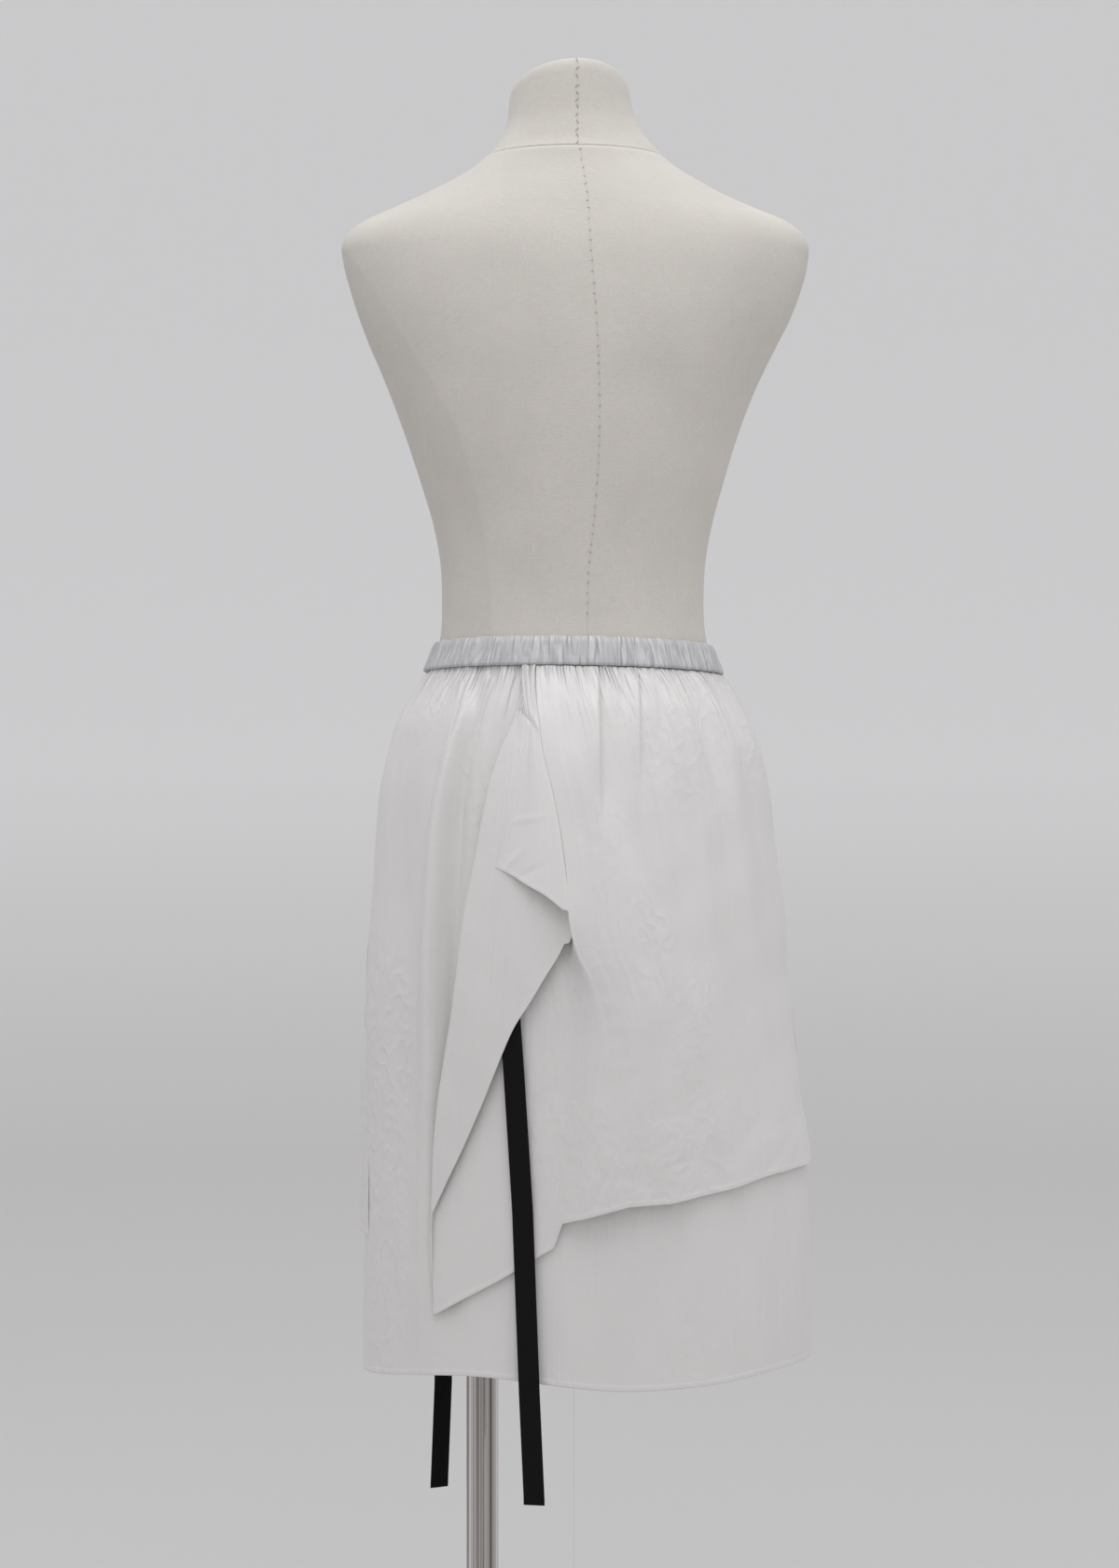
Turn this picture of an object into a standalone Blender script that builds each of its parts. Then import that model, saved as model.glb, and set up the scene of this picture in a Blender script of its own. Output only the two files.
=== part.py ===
"""Layered satin skirt on a limbless dress form.

Metres, +Z up. The origin is the middle of the base plate's underside. The wearer's back faces -Y
and the wearer's left is -X. Around the body, an angle of 0 is the right side (+X), 90 degrees is the
middle of the back (-Y), 180 the left side (-X) and 270 the middle of the front (+Y).
"""
import math
from collections import namedtuple

import bmesh
import bpy
import numpy as np

# Cloth and seams
CLOTH = 0.0014
TAPE = 0.0012
SEAM_GAP = 0.0003
SEAM_ANGLE = 0.0018
LEVEL_DROP = 0.05

# Where the front overskirt starts and ends and the underskirt's gathers start, as angles, and the
# places of the extra columns across the back overskirt's long ridge
FRONT_START = math.radians(190.0)
FRONT_END = 2 * math.pi - SEAM_ANGLE
UNDER_GATHER_START = math.radians(104.0)
RIDGE_PLACES = np.linspace(0.665, 0.785, 11)

# Waistband: its bottom and top are planes that rise a little towards the back and the left
BAND_BOTTOM = 0.9730
BAND_TOP = 0.9985
BAND_RISE_BACK = 0.045
BAND_RISE_LEFT = 0.012
BAND_GATHERS = 108
BAND_CLEARANCE = 0.0006
BAND_GATHER_DEPTH = 0.0010

# Gathers under the band, in fine columns, two to a gather
BACK_GATHERS = 22
FRONT_GATHERS = 42
UNDER_GATHERS = 14
GATHER_DEPTH = 0.0015
GATHER_FADE = 0.034
GATHER_EVEN = 0.78

# Ties
TIE_WIDTH = 0.018
TIE_LENGTH = 0.41
BACK_TIE_END = 0.278
FRONT_TIE_END = 0.2247
TIE_SEWN = 0.030
TIE_SHARE = 0.54
TIE_CLEAR = 0.0013
BACK_TIE_TURN = math.radians(12)
FRONT_TIE_TURN = math.radians(30)
UNDER_LOWEST = 0.366
Line = namedtuple("Line", "height x")
BACK_TIE_LINE = [
    Line(0.278, -0.0335),
    Line(0.366, -0.0375),
    Line(0.520, -0.0450),
    Line(0.640, -0.0520),
    Line(0.700, -0.0560),
]
FRONT_TIE_LINE = [
    Line(0.2247, -0.1225),
    Line(0.3300, -0.1184),
    Line(0.6400, -0.1170),
]

# Stand
POLE_X = -0.080
POLE_RADIUS = 0.014
SOCKET_RADIUS = 0.036
SOCKET_HEIGHT = 0.010
BASE_RADIUS = 0.200
BASE_HEIGHT = 0.010
FORM_BOTTOM = 0.760
FORM_TOP = 1.4255

# Half widths to the left and right, half depths to the back and front, at a height
Section = namedtuple("Section", "height left right back front")

# The underskirt's middle surface; every other layer stands off it
SKIRT = [
    Section(0.340, 0.1850, 0.2065, 0.1450, 0.1400),
    Section(0.366, 0.1846, 0.2075, 0.1450, 0.1400),
    Section(0.450, 0.1834, 0.2080, 0.1450, 0.1400),
    Section(0.540, 0.1825, 0.2045, 0.1440, 0.1390),
    Section(0.620, 0.1828, 0.1925, 0.1425, 0.1370),
    Section(0.700, 0.1815, 0.1835, 0.1400, 0.1340),
    Section(0.780, 0.1758, 0.1770, 0.1360, 0.1300),
    Section(0.836, 0.1722, 0.1700, 0.1315, 0.1260),
    Section(0.880, 0.1678, 0.1650, 0.1260, 0.1215),
    Section(0.912, 0.1600, 0.1575, 0.1200, 0.1165),
    Section(0.929, 0.1545, 0.1510, 0.1155, 0.1125),
    Section(0.943, 0.1475, 0.1440, 0.1110, 0.1085),
    Section(0.958, 0.1380, 0.1360, 0.1050, 0.1035),
    Section(0.973, 0.1290, 0.1280, 0.0985, 0.0980),
]

# The dress form, from its flat bottom to the root of the neck
FORM = [
    Section(FORM_BOTTOM, 0.1380, 0.1380, 0.1020, 0.0950),
    Section(0.766, 0.1470, 0.1470, 0.1090, 0.1010),
    Section(0.785, 0.1560, 0.1560, 0.1150, 0.1055),
    Section(0.820, 0.1620, 0.1610, 0.1180, 0.1080),
    Section(0.860, 0.1600, 0.1580, 0.1150, 0.1080),
    Section(0.900, 0.1530, 0.1510, 0.1090, 0.1050),
    Section(0.930, 0.1440, 0.1430, 0.1040, 0.1015),
    Section(0.955, 0.1335, 0.1325, 0.0995, 0.0980),
    Section(0.975, 0.1255, 0.1245, 0.0957, 0.0948),
    Section(0.990, 0.1200, 0.1195, 0.0920, 0.0912),
    Section(1.006, 0.1168, 0.1160, 0.0890, 0.0888),
    Section(1.040, 0.1156, 0.1142, 0.0865, 0.0875),
    Section(1.072, 0.1172, 0.1161, 0.0868, 0.0890),
    Section(1.104, 0.1233, 0.1218, 0.0890, 0.0935),
    Section(1.140, 0.1340, 0.1316, 0.0925, 0.1000),
    Section(1.183, 0.1483, 0.1447, 0.0965, 0.1090),
    Section(1.222, 0.1628, 0.1597, 0.0995, 0.1150),
    Section(1.240, 0.1702, 0.1680, 0.1005, 0.1140),
    Section(1.262, 0.1797, 0.1792, 0.1010, 0.1100),
    Section(1.286, 0.1886, 0.1912, 0.1005, 0.1020),
    Section(1.310, 0.1962, 0.2000, 0.0985, 0.0920),
    Section(1.333, 0.2020, 0.2056, 0.0955, 0.0830),
    Section(1.350, 0.2030, 0.2056, 0.0920, 0.0770),
    Section(1.361, 0.1960, 0.1985, 0.0890, 0.0735),
    Section(1.369, 0.1845, 0.1870, 0.0865, 0.0705),
    Section(1.378, 0.1645, 0.1650, 0.0835, 0.0675),
    Section(1.391, 0.1352, 0.1348, 0.0785, 0.0635),
    Section(1.405, 0.1065, 0.1092, 0.0725, 0.0605),
    Section(1.4145, 0.0908, 0.0932, 0.0688, 0.0590),
    Section(FORM_TOP, 0.0770, 0.0788, 0.0656, 0.0578),
]

NECK_BOTTOM = FORM_TOP + SEAM_GAP
NECK = [
    Section(NECK_BOTTOM, 0.0758, 0.0776, 0.0650, 0.0573),
    Section(1.4310, 0.0712, 0.0738, 0.0622, 0.0552),
    Section(1.4400, 0.0648, 0.0657, 0.0590, 0.0530),
    Section(1.4510, 0.0598, 0.0580, 0.0562, 0.0515),
    Section(1.4650, 0.0574, 0.0520, 0.0548, 0.0505),
    Section(1.4800, 0.0557, 0.0488, 0.0535, 0.0500),
    Section(1.4860, 0.0518, 0.0460, 0.0503, 0.0472),
]
NECK_RISE_BACK = 0.36
NECK_RISE_RIGHT = 0.05
NECK_CROWN = 0.003
NECK_CROWN_SHARE = 0.6
NECK_SLANT_POWER = 1.5

# How far the overskirt's middle surface stands off the underskirt's, at a height, and how far its
# cascade's second and third layers stand off the layer under them
Stand = namedtuple("Stand", "height over second third")
STANDS = [
    Stand(0.42, 0.0052, 0.0040, 0.0090),
    Stand(0.50, 0.0060, 0.0050, 0.0090),
    Stand(0.60, 0.0062, 0.0075, 0.0110),
    Stand(0.70, 0.0062, 0.0090, 0.0120),
    Stand(0.77, 0.0060, 0.0090, 0.0115),
    Stand(0.82, 0.0056, 0.0080, 0.0085),
    Stand(0.88, 0.0052, 0.0062, 0.0055),
    Stand(0.93, 0.0046, 0.0040, 0.0036),
    Stand(0.973, 0.0036, 0.0026, 0.0026),
]

# The cascade's lines across the back, as x at a height: the outer fold on the left, the inner fold
# on the right and the free end's edge
Cascade = namedtuple("Cascade", "height outer inner end")
CASCADE = [
    Cascade(0.425, -0.1186, -0.0022, -0.0980),
    Cascade(0.514, -0.1171, -0.0022, -0.0980),
    Cascade(0.595, -0.1116, -0.0022, -0.0960),
    Cascade(0.706, -0.0955, -0.0022, -0.0840),
    Cascade(0.763, -0.0888, -0.0022, -0.0715),
    Cascade(0.806, -0.0810, -0.0070, -0.0617),
    Cascade(0.841, -0.0752, -0.0118, -0.0531),
    Cascade(0.879, -0.0680, -0.0192, -0.0442),
    Cascade(0.904, -0.0602, -0.0250, -0.0405),
    Cascade(0.927, -0.0508, -0.0276, -0.0385),
    Cascade(0.944, -0.0451, -0.0300, -0.0405),
    Cascade(0.973, -0.0375, -0.0325, -0.0440),
]

# Hem heights. The back overskirt's by x; those of the cascade's layers by the share of the way
# from the fold where the layer starts; the others by the angle in degrees
Hem = namedtuple("Hem", "place height")
BACK_HEM = [
    Hem(-0.1194, 0.4251),
    Hem(-0.0906, 0.4432),
    Hem(-0.0591, 0.4613),
    Hem(-0.0341, 0.4777),
    Hem(-0.0150, 0.4890),
    Hem(-0.0120, 0.5080),
    Hem(0.0188, 0.5163),
    Hem(0.0437, 0.5228),
    Hem(0.0775, 0.5244),
    Hem(0.1253, 0.5329),
    Hem(0.1707, 0.5438),
    Hem(0.2116, 0.5480),
]
SECOND_HEM = [
    Hem(0.00, 0.5137),
    Hem(0.06, 0.5300),
    Hem(0.15, 0.5537),
    Hem(0.33, 0.6042),
    Hem(0.54, 0.6688),
    Hem(0.69, 0.6936),
    Hem(0.83, 0.7178),
    Hem(0.95, 0.7442),
    Hem(1.00, 0.7584),
]
THIRD_HEM = [
    Hem(0.00, 0.7700),
    Hem(0.19, 0.7815),
    Hem(0.50, 0.7926),
    Hem(0.75, 0.8003),
    Hem(1.00, 0.8060),
]
FRONT_HEM = [
    Hem(180.0, 0.4787),
    Hem(215.0, 0.4950),
    Hem(260.0, 0.5180),
    Hem(300.0, 0.5330),
    Hem(360.0, 0.5480),
]
UNDER_HEM = [
    Hem(0.0, 0.3770),
    Hem(30.0, 0.3760),
    Hem(62.0, 0.3680),
    Hem(80.0, 0.3675),
    Hem(95.0, 0.3725),
    Hem(112.0, 0.3775),
    Hem(132.0, 0.3755),
    Hem(152.0, 0.3695),
    Hem(180.0, 0.3660),
    Hem(225.0, 0.3700),
    Hem(270.0, 0.3720),
    Hem(315.0, 0.3745),
    Hem(360.0, 0.3770),
]

# Long folds: the angle in degrees at the waist and at the hem, how far they stand out at three
# heights, and half of their width in degrees. AT_BAND is the share of the waist's value that is
# left just under the waistband
Fold = namedtuple("Fold", "waist hem at_waist at_middle at_hem width")
RIGHT_BACK_FOLDS = [
    Fold(20.0, 15.0, 0.0040, 0.0025, 0.0020, 6.0),
    Fold(37.0, 31.0, 0.0050, 0.0034, 0.0020, 5.0),
    Fold(53.0, 50.0, 0.0046, 0.0026, 0.0025, 5.5),
    Fold(67.0, 66.0, 0.0046, 0.0026, 0.0045, 5.5),
    Fold(83.0, 84.0, 0.0040, 0.0010, 0.0000, 5.0),
]
LEFT_BACK_FOLDS = [
    Fold(147.0, 141.0, 0.0020, -0.0040, -0.0010, 7.0),
    Fold(164.0, 161.0, 0.0030, 0.0035, 0.0020, 8.0),
]
SHARED_FRONT_FOLDS = [
    Fold(200.0, 196.0, 0.0010, 0.0040, 0.0060, 7.0),
    Fold(222.0, 220.0, 0.0012, 0.0050, 0.0070, 7.5),
    Fold(246.0, 247.0, 0.0010, 0.0045, 0.0050, 8.0),
    Fold(270.0, 272.0, 0.0012, 0.0040, 0.0060, 7.0),
    Fold(292.0, 296.0, 0.0010, 0.0050, 0.0065, 8.0),
    Fold(316.0, 319.0, 0.0012, 0.0045, 0.0055, 7.5),
    Fold(338.0, 341.0, 0.0010, 0.0035, 0.0045, 7.0),
]
AT_BAND = 0.3
WAIST_FOLD_HEIGHT = 0.940
MIDDLE_FOLD_HEIGHT = 0.780
HEM_FOLD_HEIGHT = 0.450

# The sharp ridge down the left of the back: x, how far it stands out and half its width
Ridge = namedtuple("Ridge", "height x out width")
LEFT_RIDGE = [
    Ridge(0.366, -0.1290, 0.0012, 0.012),
    Ridge(0.480, -0.1262, 0.0040, 0.010),
    Ridge(0.600, -0.1225, 0.0070, 0.009),
    Ridge(0.753, -0.1200, 0.0090, 0.009),
    Ridge(0.851, -0.1129, 0.0085, 0.008),
    Ridge(0.902, -0.1042, 0.0065, 0.007),
    Ridge(0.941, -0.0932, 0.0040, 0.006),
    Ridge(0.970, -0.0900, 0.0008, 0.006),
]

# The overskirt's long ridge beside the cascade: x of its crest, how far it stands out and half its
# width on the cascade's steep side and on the other, soft one
Crest = namedtuple("Crest", "height x out steep soft")
CREST = [
    Crest(0.420, 0.0000, 0.0080, 0.0080, 0.060),
    Crest(0.500, 0.0000, 0.0105, 0.0080, 0.060),
    Crest(0.600, 0.0100, 0.0130, 0.0130, 0.060),
    Crest(0.700, 0.0100, 0.0170, 0.0100, 0.065),
    Crest(0.763, 0.0040, 0.0195, 0.0050, 0.065),
    Crest(0.806, -0.0013, 0.0160, 0.0047, 0.060),
    Crest(0.841, -0.0060, 0.0125, 0.0045, 0.055),
    Crest(0.879, -0.0133, 0.0090, 0.0045, 0.045),
    Crest(0.927, -0.0217, 0.0050, 0.0043, 0.030),
    Crest(0.973, -0.0267, 0.0010, 0.0042, 0.020),
]

# The cascade: the angle of its outer fold at the waist, the shares of the main layer between which
# the long folds die away towards it, the swell of its second layer, as a share of its stand-off,
# and how far the third layer's free end settles back on the second
CASCADE_TOP_ANGLE = 1.9
BESIDE_FOLD = (0.82, 0.95)
SECOND_SWELL = 0.15
THIRD_SETTLE = 0.85

# The front overskirt's free end on the left: it lies close above, and flares out and wraps on round
# the side towards its hem
FREE_END_TOP = 0.690
FREE_END_LOW = 0.500
FREE_END_FLARE = 0.0045
FREE_END_CLOSE = 0.0022
FREE_END_REACH = math.radians(16)
FREE_END_WRAP = math.radians(13)


def column(table, name):
    """One named column of a table, as an array."""
    return np.array([getattr(row, name) for row in table])


def read(table, name, place, by="height"):
    """A table's column at a place: a cubic through its rows, with slopes from their neighbours."""
    known = column(table, by)
    values = column(table, name)
    place = np.clip(np.asarray(place, float), known[0], known[-1])
    slopes = np.gradient(values, known)
    i = np.clip(np.searchsorted(known, place, side="right") - 1, 0, len(known) - 2)
    span = known[i + 1] - known[i]
    u = (place - known[i]) / span
    start = (1 + 2 * u) * (1 - u) ** 2 * values[i] + u * (1 - u) ** 2 * span * slopes[i]
    end = u * u * (3 - 2 * u) * values[i + 1] + u * u * (u - 1) * span * slopes[i + 1]
    return start + end


def step(value, low, high):
    """0 below low, 1 above high, and smooth between."""
    u = np.clip((np.asarray(value, float) - low) / (high - low), 0.0, 1.0)
    return u * u * (3 - 2 * u)


def around(table, angle, height, out=0.0):
    """Points of a body whose cross-sections are four quarter ellipses, moved out by a distance
    along the level normal."""
    c, s = np.cos(angle), np.sin(angle)
    half = np.where(c > 0, read(table, "right", height), read(table, "left", height))
    deep = np.where(s > 0, read(table, "back", height), read(table, "front", height))
    nx, ny = c / half, -s / deep
    size = np.hypot(nx, ny)
    return np.stack(
        [half * c + out * nx / size, -deep * s + out * ny / size, height + 0 * c], axis=-1
    )


def back_angle(x, height):
    """The angle at which the skirt's back has this x."""
    half = np.where(x > 0, read(SKIRT, "right", height), read(SKIRT, "left", height))
    return np.arccos(np.clip(x / half, -1.0, 1.0))


def band_plane(height, x, y):
    """The height of a tilted plane of the waistband above a point."""
    return height - BAND_RISE_BACK * y - BAND_RISE_LEFT * x


def waist_edge(angle):
    """The height of the cloth's top edge, just under the waistband."""
    at = around(SKIRT, angle, BAND_BOTTOM + 0 * angle)
    return band_plane(BAND_BOTTOM, at[..., 0], at[..., 1]) - SEAM_GAP


def fold_out(folds, angle, height):
    """How far a table of long folds stands out: each is a bell across, and its height runs from
    its waist value through the middle one to the hem's."""
    total = 0.0 * angle
    for fold in folds:
        down = step(-height, -WAIST_FOLD_HEIGHT, -HEM_FOLD_HEIGHT)
        centre = np.radians(fold.waist + (fold.hem - fold.waist) * down)
        tall = np.interp(
            height,
            [HEM_FOLD_HEIGHT, MIDDLE_FOLD_HEIGHT, WAIST_FOLD_HEIGHT, BAND_BOTTOM],
            [fold.at_hem, fold.at_middle, fold.at_waist, AT_BAND * fold.at_waist],
        )
        total = total + tall * np.exp(-(((angle - centre) / np.radians(fold.width)) ** 2))
    return total


def gather_out(turns, height, top):
    """Fine gathers: waves that are deepest at the waist and die away below it, uneven in depth."""
    fade = np.exp(-np.clip(top - height, 0.0, None) / GATHER_FADE)
    uneven = GATHER_EVEN + (1.0 - GATHER_EVEN) * np.sin(2.3 * turns + 1.0) * np.sin(0.7 * turns)
    return GATHER_DEPTH * uneven * fade * np.cos(2 * math.pi * turns)


def under_point(angle, drop, gathered_from=None):
    """The underskirt: angle round the body, and drop from 0 at the waist to 1 at the hem."""
    top = waist_edge(angle)
    hem = read(UNDER_HEM, "height", np.degrees(angle), by="place")
    height = top + drop * (hem - top)
    out = fold_out(SHARED_FRONT_FOLDS + LEFT_BACK_FOLDS, angle, height)
    x = around(SKIRT, angle, height)[..., 0]
    ridge = (x - read(LEFT_RIDGE, "x", height)) / read(LEFT_RIDGE, "width", height)
    on_back = np.sin(angle) > 0
    out = out + np.where(on_back, read(LEFT_RIDGE, "out", height) * np.exp(-ridge ** 2), 0.0)
    if gathered_from is not None:
        share = (angle - gathered_from) / (math.pi - gathered_from)
        waves = gather_out(UNDER_GATHERS * share, height, top)
        out = out + np.where(share > 0, waves, 0.0)
    return around(SKIRT, angle, height, out)


def front_point(angle, drop):
    """The front overskirt: it follows the underskirt's folds and stands off it."""
    top = waist_edge(angle)
    hem = read(FRONT_HEM, "height", np.degrees(angle), by="place")
    height = top + drop * (hem - top)
    share = (angle - FRONT_START) / (FRONT_END - FRONT_START)
    low = step(-height, -FREE_END_TOP, -FREE_END_LOW)
    wrapped = angle - FREE_END_WRAP * low * (1.0 - share) ** 4
    out = read(STANDS, "over", height) + fold_out(SHARED_FRONT_FOLDS, angle, height)
    out = out + gather_out(FRONT_GATHERS * share, height, top) + free_end_out(angle, height)
    return around(SKIRT, wrapped, height, out)


def free_end_out(angle, height):
    """The front overskirt's free end: drawn in above, flared out near the hem, and neither
    away from the end."""
    near = np.exp(-(((angle - FRONT_START) / FREE_END_REACH) ** 2))
    low = step(-height, -FREE_END_TOP, -FREE_END_LOW)
    close = FREE_END_CLOSE * step(height, FREE_END_LOW, FREE_END_TOP)
    away_from_band = step(-height, -BAND_BOTTOM, -WAIST_FOLD_HEIGHT)
    return near * (FREE_END_FLARE * low - close * away_from_band)


def crest_out(x, height):
    """The long ridge: a bell that is steep towards the cascade and soft away from it."""
    away = x - read(CREST, "x", height)
    steep, soft = read(CREST, "steep", height), read(CREST, "soft", height)
    return read(CREST, "out", height) * np.exp(-((away / np.where(away < 0, steep, soft)) ** 2))


def main_x_and_angle(share, height):
    """The back overskirt's main layer: the share of the way from the side seam to the fold."""
    fold = read(CASCADE, "outer", height) + read(STANDS, "second", height) / 2
    angle = SEAM_ANGLE + share * (back_angle(fold, height) - SEAM_ANGLE)
    return around(SKIRT, angle, height)[..., 0], angle


def main_hem(share):
    """The height of the main layer's hem, found by stepping from x to height and back."""
    height = 0.50 + 0.0 * share
    for _ in range(6):
        x, _ = main_x_and_angle(share, height)
        height = np.interp(x, column(BACK_HEM, "place"), column(BACK_HEM, "height"))
    return height


def main_point(share, height, top):
    """The main layer at a height: stand-off, gathers, long folds and the ridge."""
    x, angle = main_x_and_angle(share, height)
    free = 1.0 - step(share, *BESIDE_FOLD)
    out = read(STANDS, "over", height) + fold_out(RIGHT_BACK_FOLDS, angle, height) * free
    out = out + gather_out(BACK_GATHERS * share, height, top) * free + crest_out(x, height)
    return angle, out


def second_out(height, across):
    """How far the cascade's second layer stands off, a little more in its middle."""
    gap = read(STANDS, "second", height)
    return read(STANDS, "over", height) + gap * (1.0 + SECOND_SWELL * np.sin(math.pi * across))


def back_point(place, drop):
    """The back overskirt, one cloth in five stretches of its place: 0 to 1 the main layer, to 2
    the outer fold, to 3 the second layer, to 4 the inner fold, to 5 the third layer."""
    place = np.asarray(place, float)
    share = np.clip(place, -0.01, 1.0)
    turn_a = math.pi * np.clip(place - 1.0, 0.0, 1.0)
    across = np.clip(place - 2.0, 0.0, 1.0)
    turn_b = math.pi * np.clip(place - 3.0, 0.0, 1.0)
    last = np.clip(place - 4.0, 0.0, 1.02)
    ends = read(SECOND_HEM, "height", across, by="place")
    hem = main_hem(share)
    hem = np.where(place > 1.0, hem + (SECOND_HEM[0].height - hem) * (turn_a / math.pi), hem)
    hem = np.where(place > 2.0, ends, hem)
    corner = SECOND_HEM[-1].height
    rounded = corner + (THIRD_HEM[0].height - corner) * (turn_b / math.pi) ** 2
    hem = np.where(place > 3.0, rounded, hem)
    hem = np.where(place > 4.0, read(THIRD_HEM, "height", last, by="place"), hem)
    top = waist_edge(CASCADE_TOP_ANGLE * np.clip(share, 0.0, 1.0))
    height = top + drop * (hem - top)

    angle, out = main_point(share, height, top)
    fold_a = read(STANDS, "second", height) / 2
    fold_b = read(STANDS, "third", height) / 2
    outer = read(CASCADE, "outer", height)
    inner = read(CASCADE, "inner", height)
    end = read(CASCADE, "end", height)
    over = read(STANDS, "over", height)

    x = around(SKIRT, angle, height)[..., 0]
    x = np.where(place > 1.0, outer + fold_a * (1 - np.sin(turn_a)), x)
    out = np.where(place > 1.0, over + fold_a * (1 - np.cos(turn_a)), out)
    stop = inner - fold_b
    x = np.where(place > 2.0, outer + fold_a + across * (stop - outer - fold_a), x)
    out = np.where(place > 2.0, second_out(height, across), out)
    x = np.where(place > 3.0, stop + fold_b * np.sin(turn_b), x)
    out = np.where(place > 3.0, over + 2 * fold_a + fold_b * (1 - np.cos(turn_b)), out)
    x = np.where(place > 4.0, stop + last * (end - stop), x)
    settle = 2 * THIRD_SETTLE * fold_b * step(last, 0.2, 1.0)
    out = np.where(place > 4.0, over + 2 * fold_a + 2 * fold_b - settle, out)
    folded = np.where(place > 1.0, back_angle(x, height), angle)
    return around(SKIRT, folded, height, out)


def new_material(name, colour, roughness, metallic=0.0):
    """A plain Principled material."""
    material = bpy.data.materials.new(name)
    material.use_nodes = True
    shader = material.node_tree.nodes["Principled BSDF"]
    shader.inputs["Base Color"].default_value = (*colour, 1.0)
    shader.inputs["Roughness"].default_value = roughness
    shader.inputs["Metallic"].default_value = metallic
    material.diffuse_color = (*colour, 1.0)
    return material


def new_object(name, vertices, faces, material, sharp=math.radians(50)):
    """A mesh object with its faces turned outwards and round stretches shaded smooth."""
    mesh = bpy.data.meshes.new(name)
    mesh.from_pydata([tuple(map(float, v)) for v in vertices], [], faces)
    work = bmesh.new()
    work.from_mesh(mesh)
    bmesh.ops.recalc_face_normals(work, faces=work.faces)
    work.to_mesh(mesh)
    work.free()
    mesh.shade_smooth()
    mesh.set_sharp_from_angle(angle=sharp)
    mesh.materials.append(material)
    made = bpy.data.objects.new(name, mesh)
    bpy.context.collection.objects.link(made)
    return made


def stitch(upper, upper_at, lower, lower_at):
    """Faces between two rows of points, each with its own places along the row."""
    faces = []
    i = j = 0
    while i < len(upper) - 1 or j < len(lower) - 1:
        next_up = upper_at[i + 1] if i < len(upper) - 1 else math.inf
        next_low = lower_at[j + 1] if j < len(lower) - 1 else math.inf
        if abs(next_up - next_low) < 1e-9:
            faces.append((upper[i], upper[i + 1], lower[j + 1], lower[j]))
            i += 1
            j += 1
        elif next_up < next_low:
            faces.append((upper[i], upper[i + 1], lower[j]))
            i += 1
        else:
            faces.append((upper[i], lower[j + 1], lower[j]))
            j += 1
    return faces


def cloth_wall(name, surface, rows, thickness, material):
    """A closed wall round a middle surface. Rows are (drop, places along the row); the surface
    gives a point for each place and drop, and the wall is half its thickness to each side. Its top
    edge is level from one side to the other, to lie along the seam."""
    nudge = 1e-4
    outer, inner, places = [], [], []
    vertices = []
    for drop, row in rows:
        at = np.asarray(row, float)
        down = np.full(at.shape, float(drop))
        along = surface(at + nudge, down) - surface(at - nudge, down)
        below = surface(at, down + nudge) - surface(at, down - nudge)
        normal = np.cross(along, below)
        normal[:, 2] *= step(drop, 0.0, LEVEL_DROP)
        normal /= np.linalg.norm(normal, axis=-1, keepdims=True)
        middle = surface(at, down)
        for side, rows_of in ((1, outer), (-1, inner)):
            first = len(vertices)
            vertices.extend(middle + side * normal * thickness / 2)
            rows_of.append(list(range(first, first + len(at))))
        places.append(at)
    faces = []
    for i in range(len(rows) - 1):
        faces += stitch(outer[i], places[i], outer[i + 1], places[i + 1])
        faces += [f[::-1] for f in stitch(inner[i], places[i], inner[i + 1], places[i + 1])]
        for k in (0, -1):
            faces.append((outer[i][k], outer[i + 1][k], inner[i + 1][k], inner[i][k]))
    for k in (0, -1):
        for j in range(len(outer[k]) - 1):
            faces.append((outer[k][j], outer[k][j + 1], inner[k][j + 1], inner[k][j]))
    return new_object(name, vertices, faces, material)


def waistband(material):
    """A gathered ring: its inside lies on the form, and its outside is puffed and ridged."""
    profile = [
        # height share, stand-off from the inside, share of the gather depth
        (0.00, 0.0000, 0.0),
        (1.00, 0.0000, 0.0),
        (1.00, 0.0022, 0.5),
        (0.72, 0.0042, 1.0),
        (0.28, 0.0056, 1.0),
        (0.00, 0.0050, 0.6),
    ]
    count = 2 * BAND_GATHERS
    angles = np.arange(count) * 2 * math.pi / count
    depth = 0.80 + 0.20 * np.sin(5.3 * angles + 0.6) * np.sin(13.0 * angles)
    waves = BAND_GATHER_DEPTH * depth * np.cos(math.pi * np.arange(count))
    rings = []
    for share, out, gathered in profile:
        flat = BAND_BOTTOM + share * (BAND_TOP - BAND_BOTTOM) + 0 * angles
        at = around(FORM, angles, flat)
        height = band_plane(flat, at[:, 0], at[:, 1])
        rings.append(around(FORM, angles, height, BAND_CLEARANCE + out + gathered * waves))
    vertices = np.concatenate(rings)
    faces = []
    for k in range(len(rings)):
        below = (k + 1) % len(rings)
        for i in range(count):
            j = (i + 1) % count
            faces.append((k * count + i, k * count + j, below * count + j, below * count + i))
    return new_object("waistband", vertices, faces, material)


def lofted(name, table, columns, material, crown=None):
    """A closed body through a table of sections, with a flat bottom and a flat or crowned top."""
    angles = np.arange(columns) * 2 * math.pi / columns
    rings = [around(table, angles, row.height + 0 * angles) for row in table]
    if crown is not None:
        rings = crown(rings)
    vertices = list(np.concatenate(rings))
    faces = [tuple(range(columns))]
    for k in range(len(rings) - 1):
        for i in range(columns):
            j = (i + 1) % columns
            low, high = k * columns, (k + 1) * columns
            faces.append((low + i, low + j, high + j, high + i))
    faces.append(tuple(range((len(rings) - 1) * columns, len(rings) * columns)))
    return new_object(name, vertices, faces, material)


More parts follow.
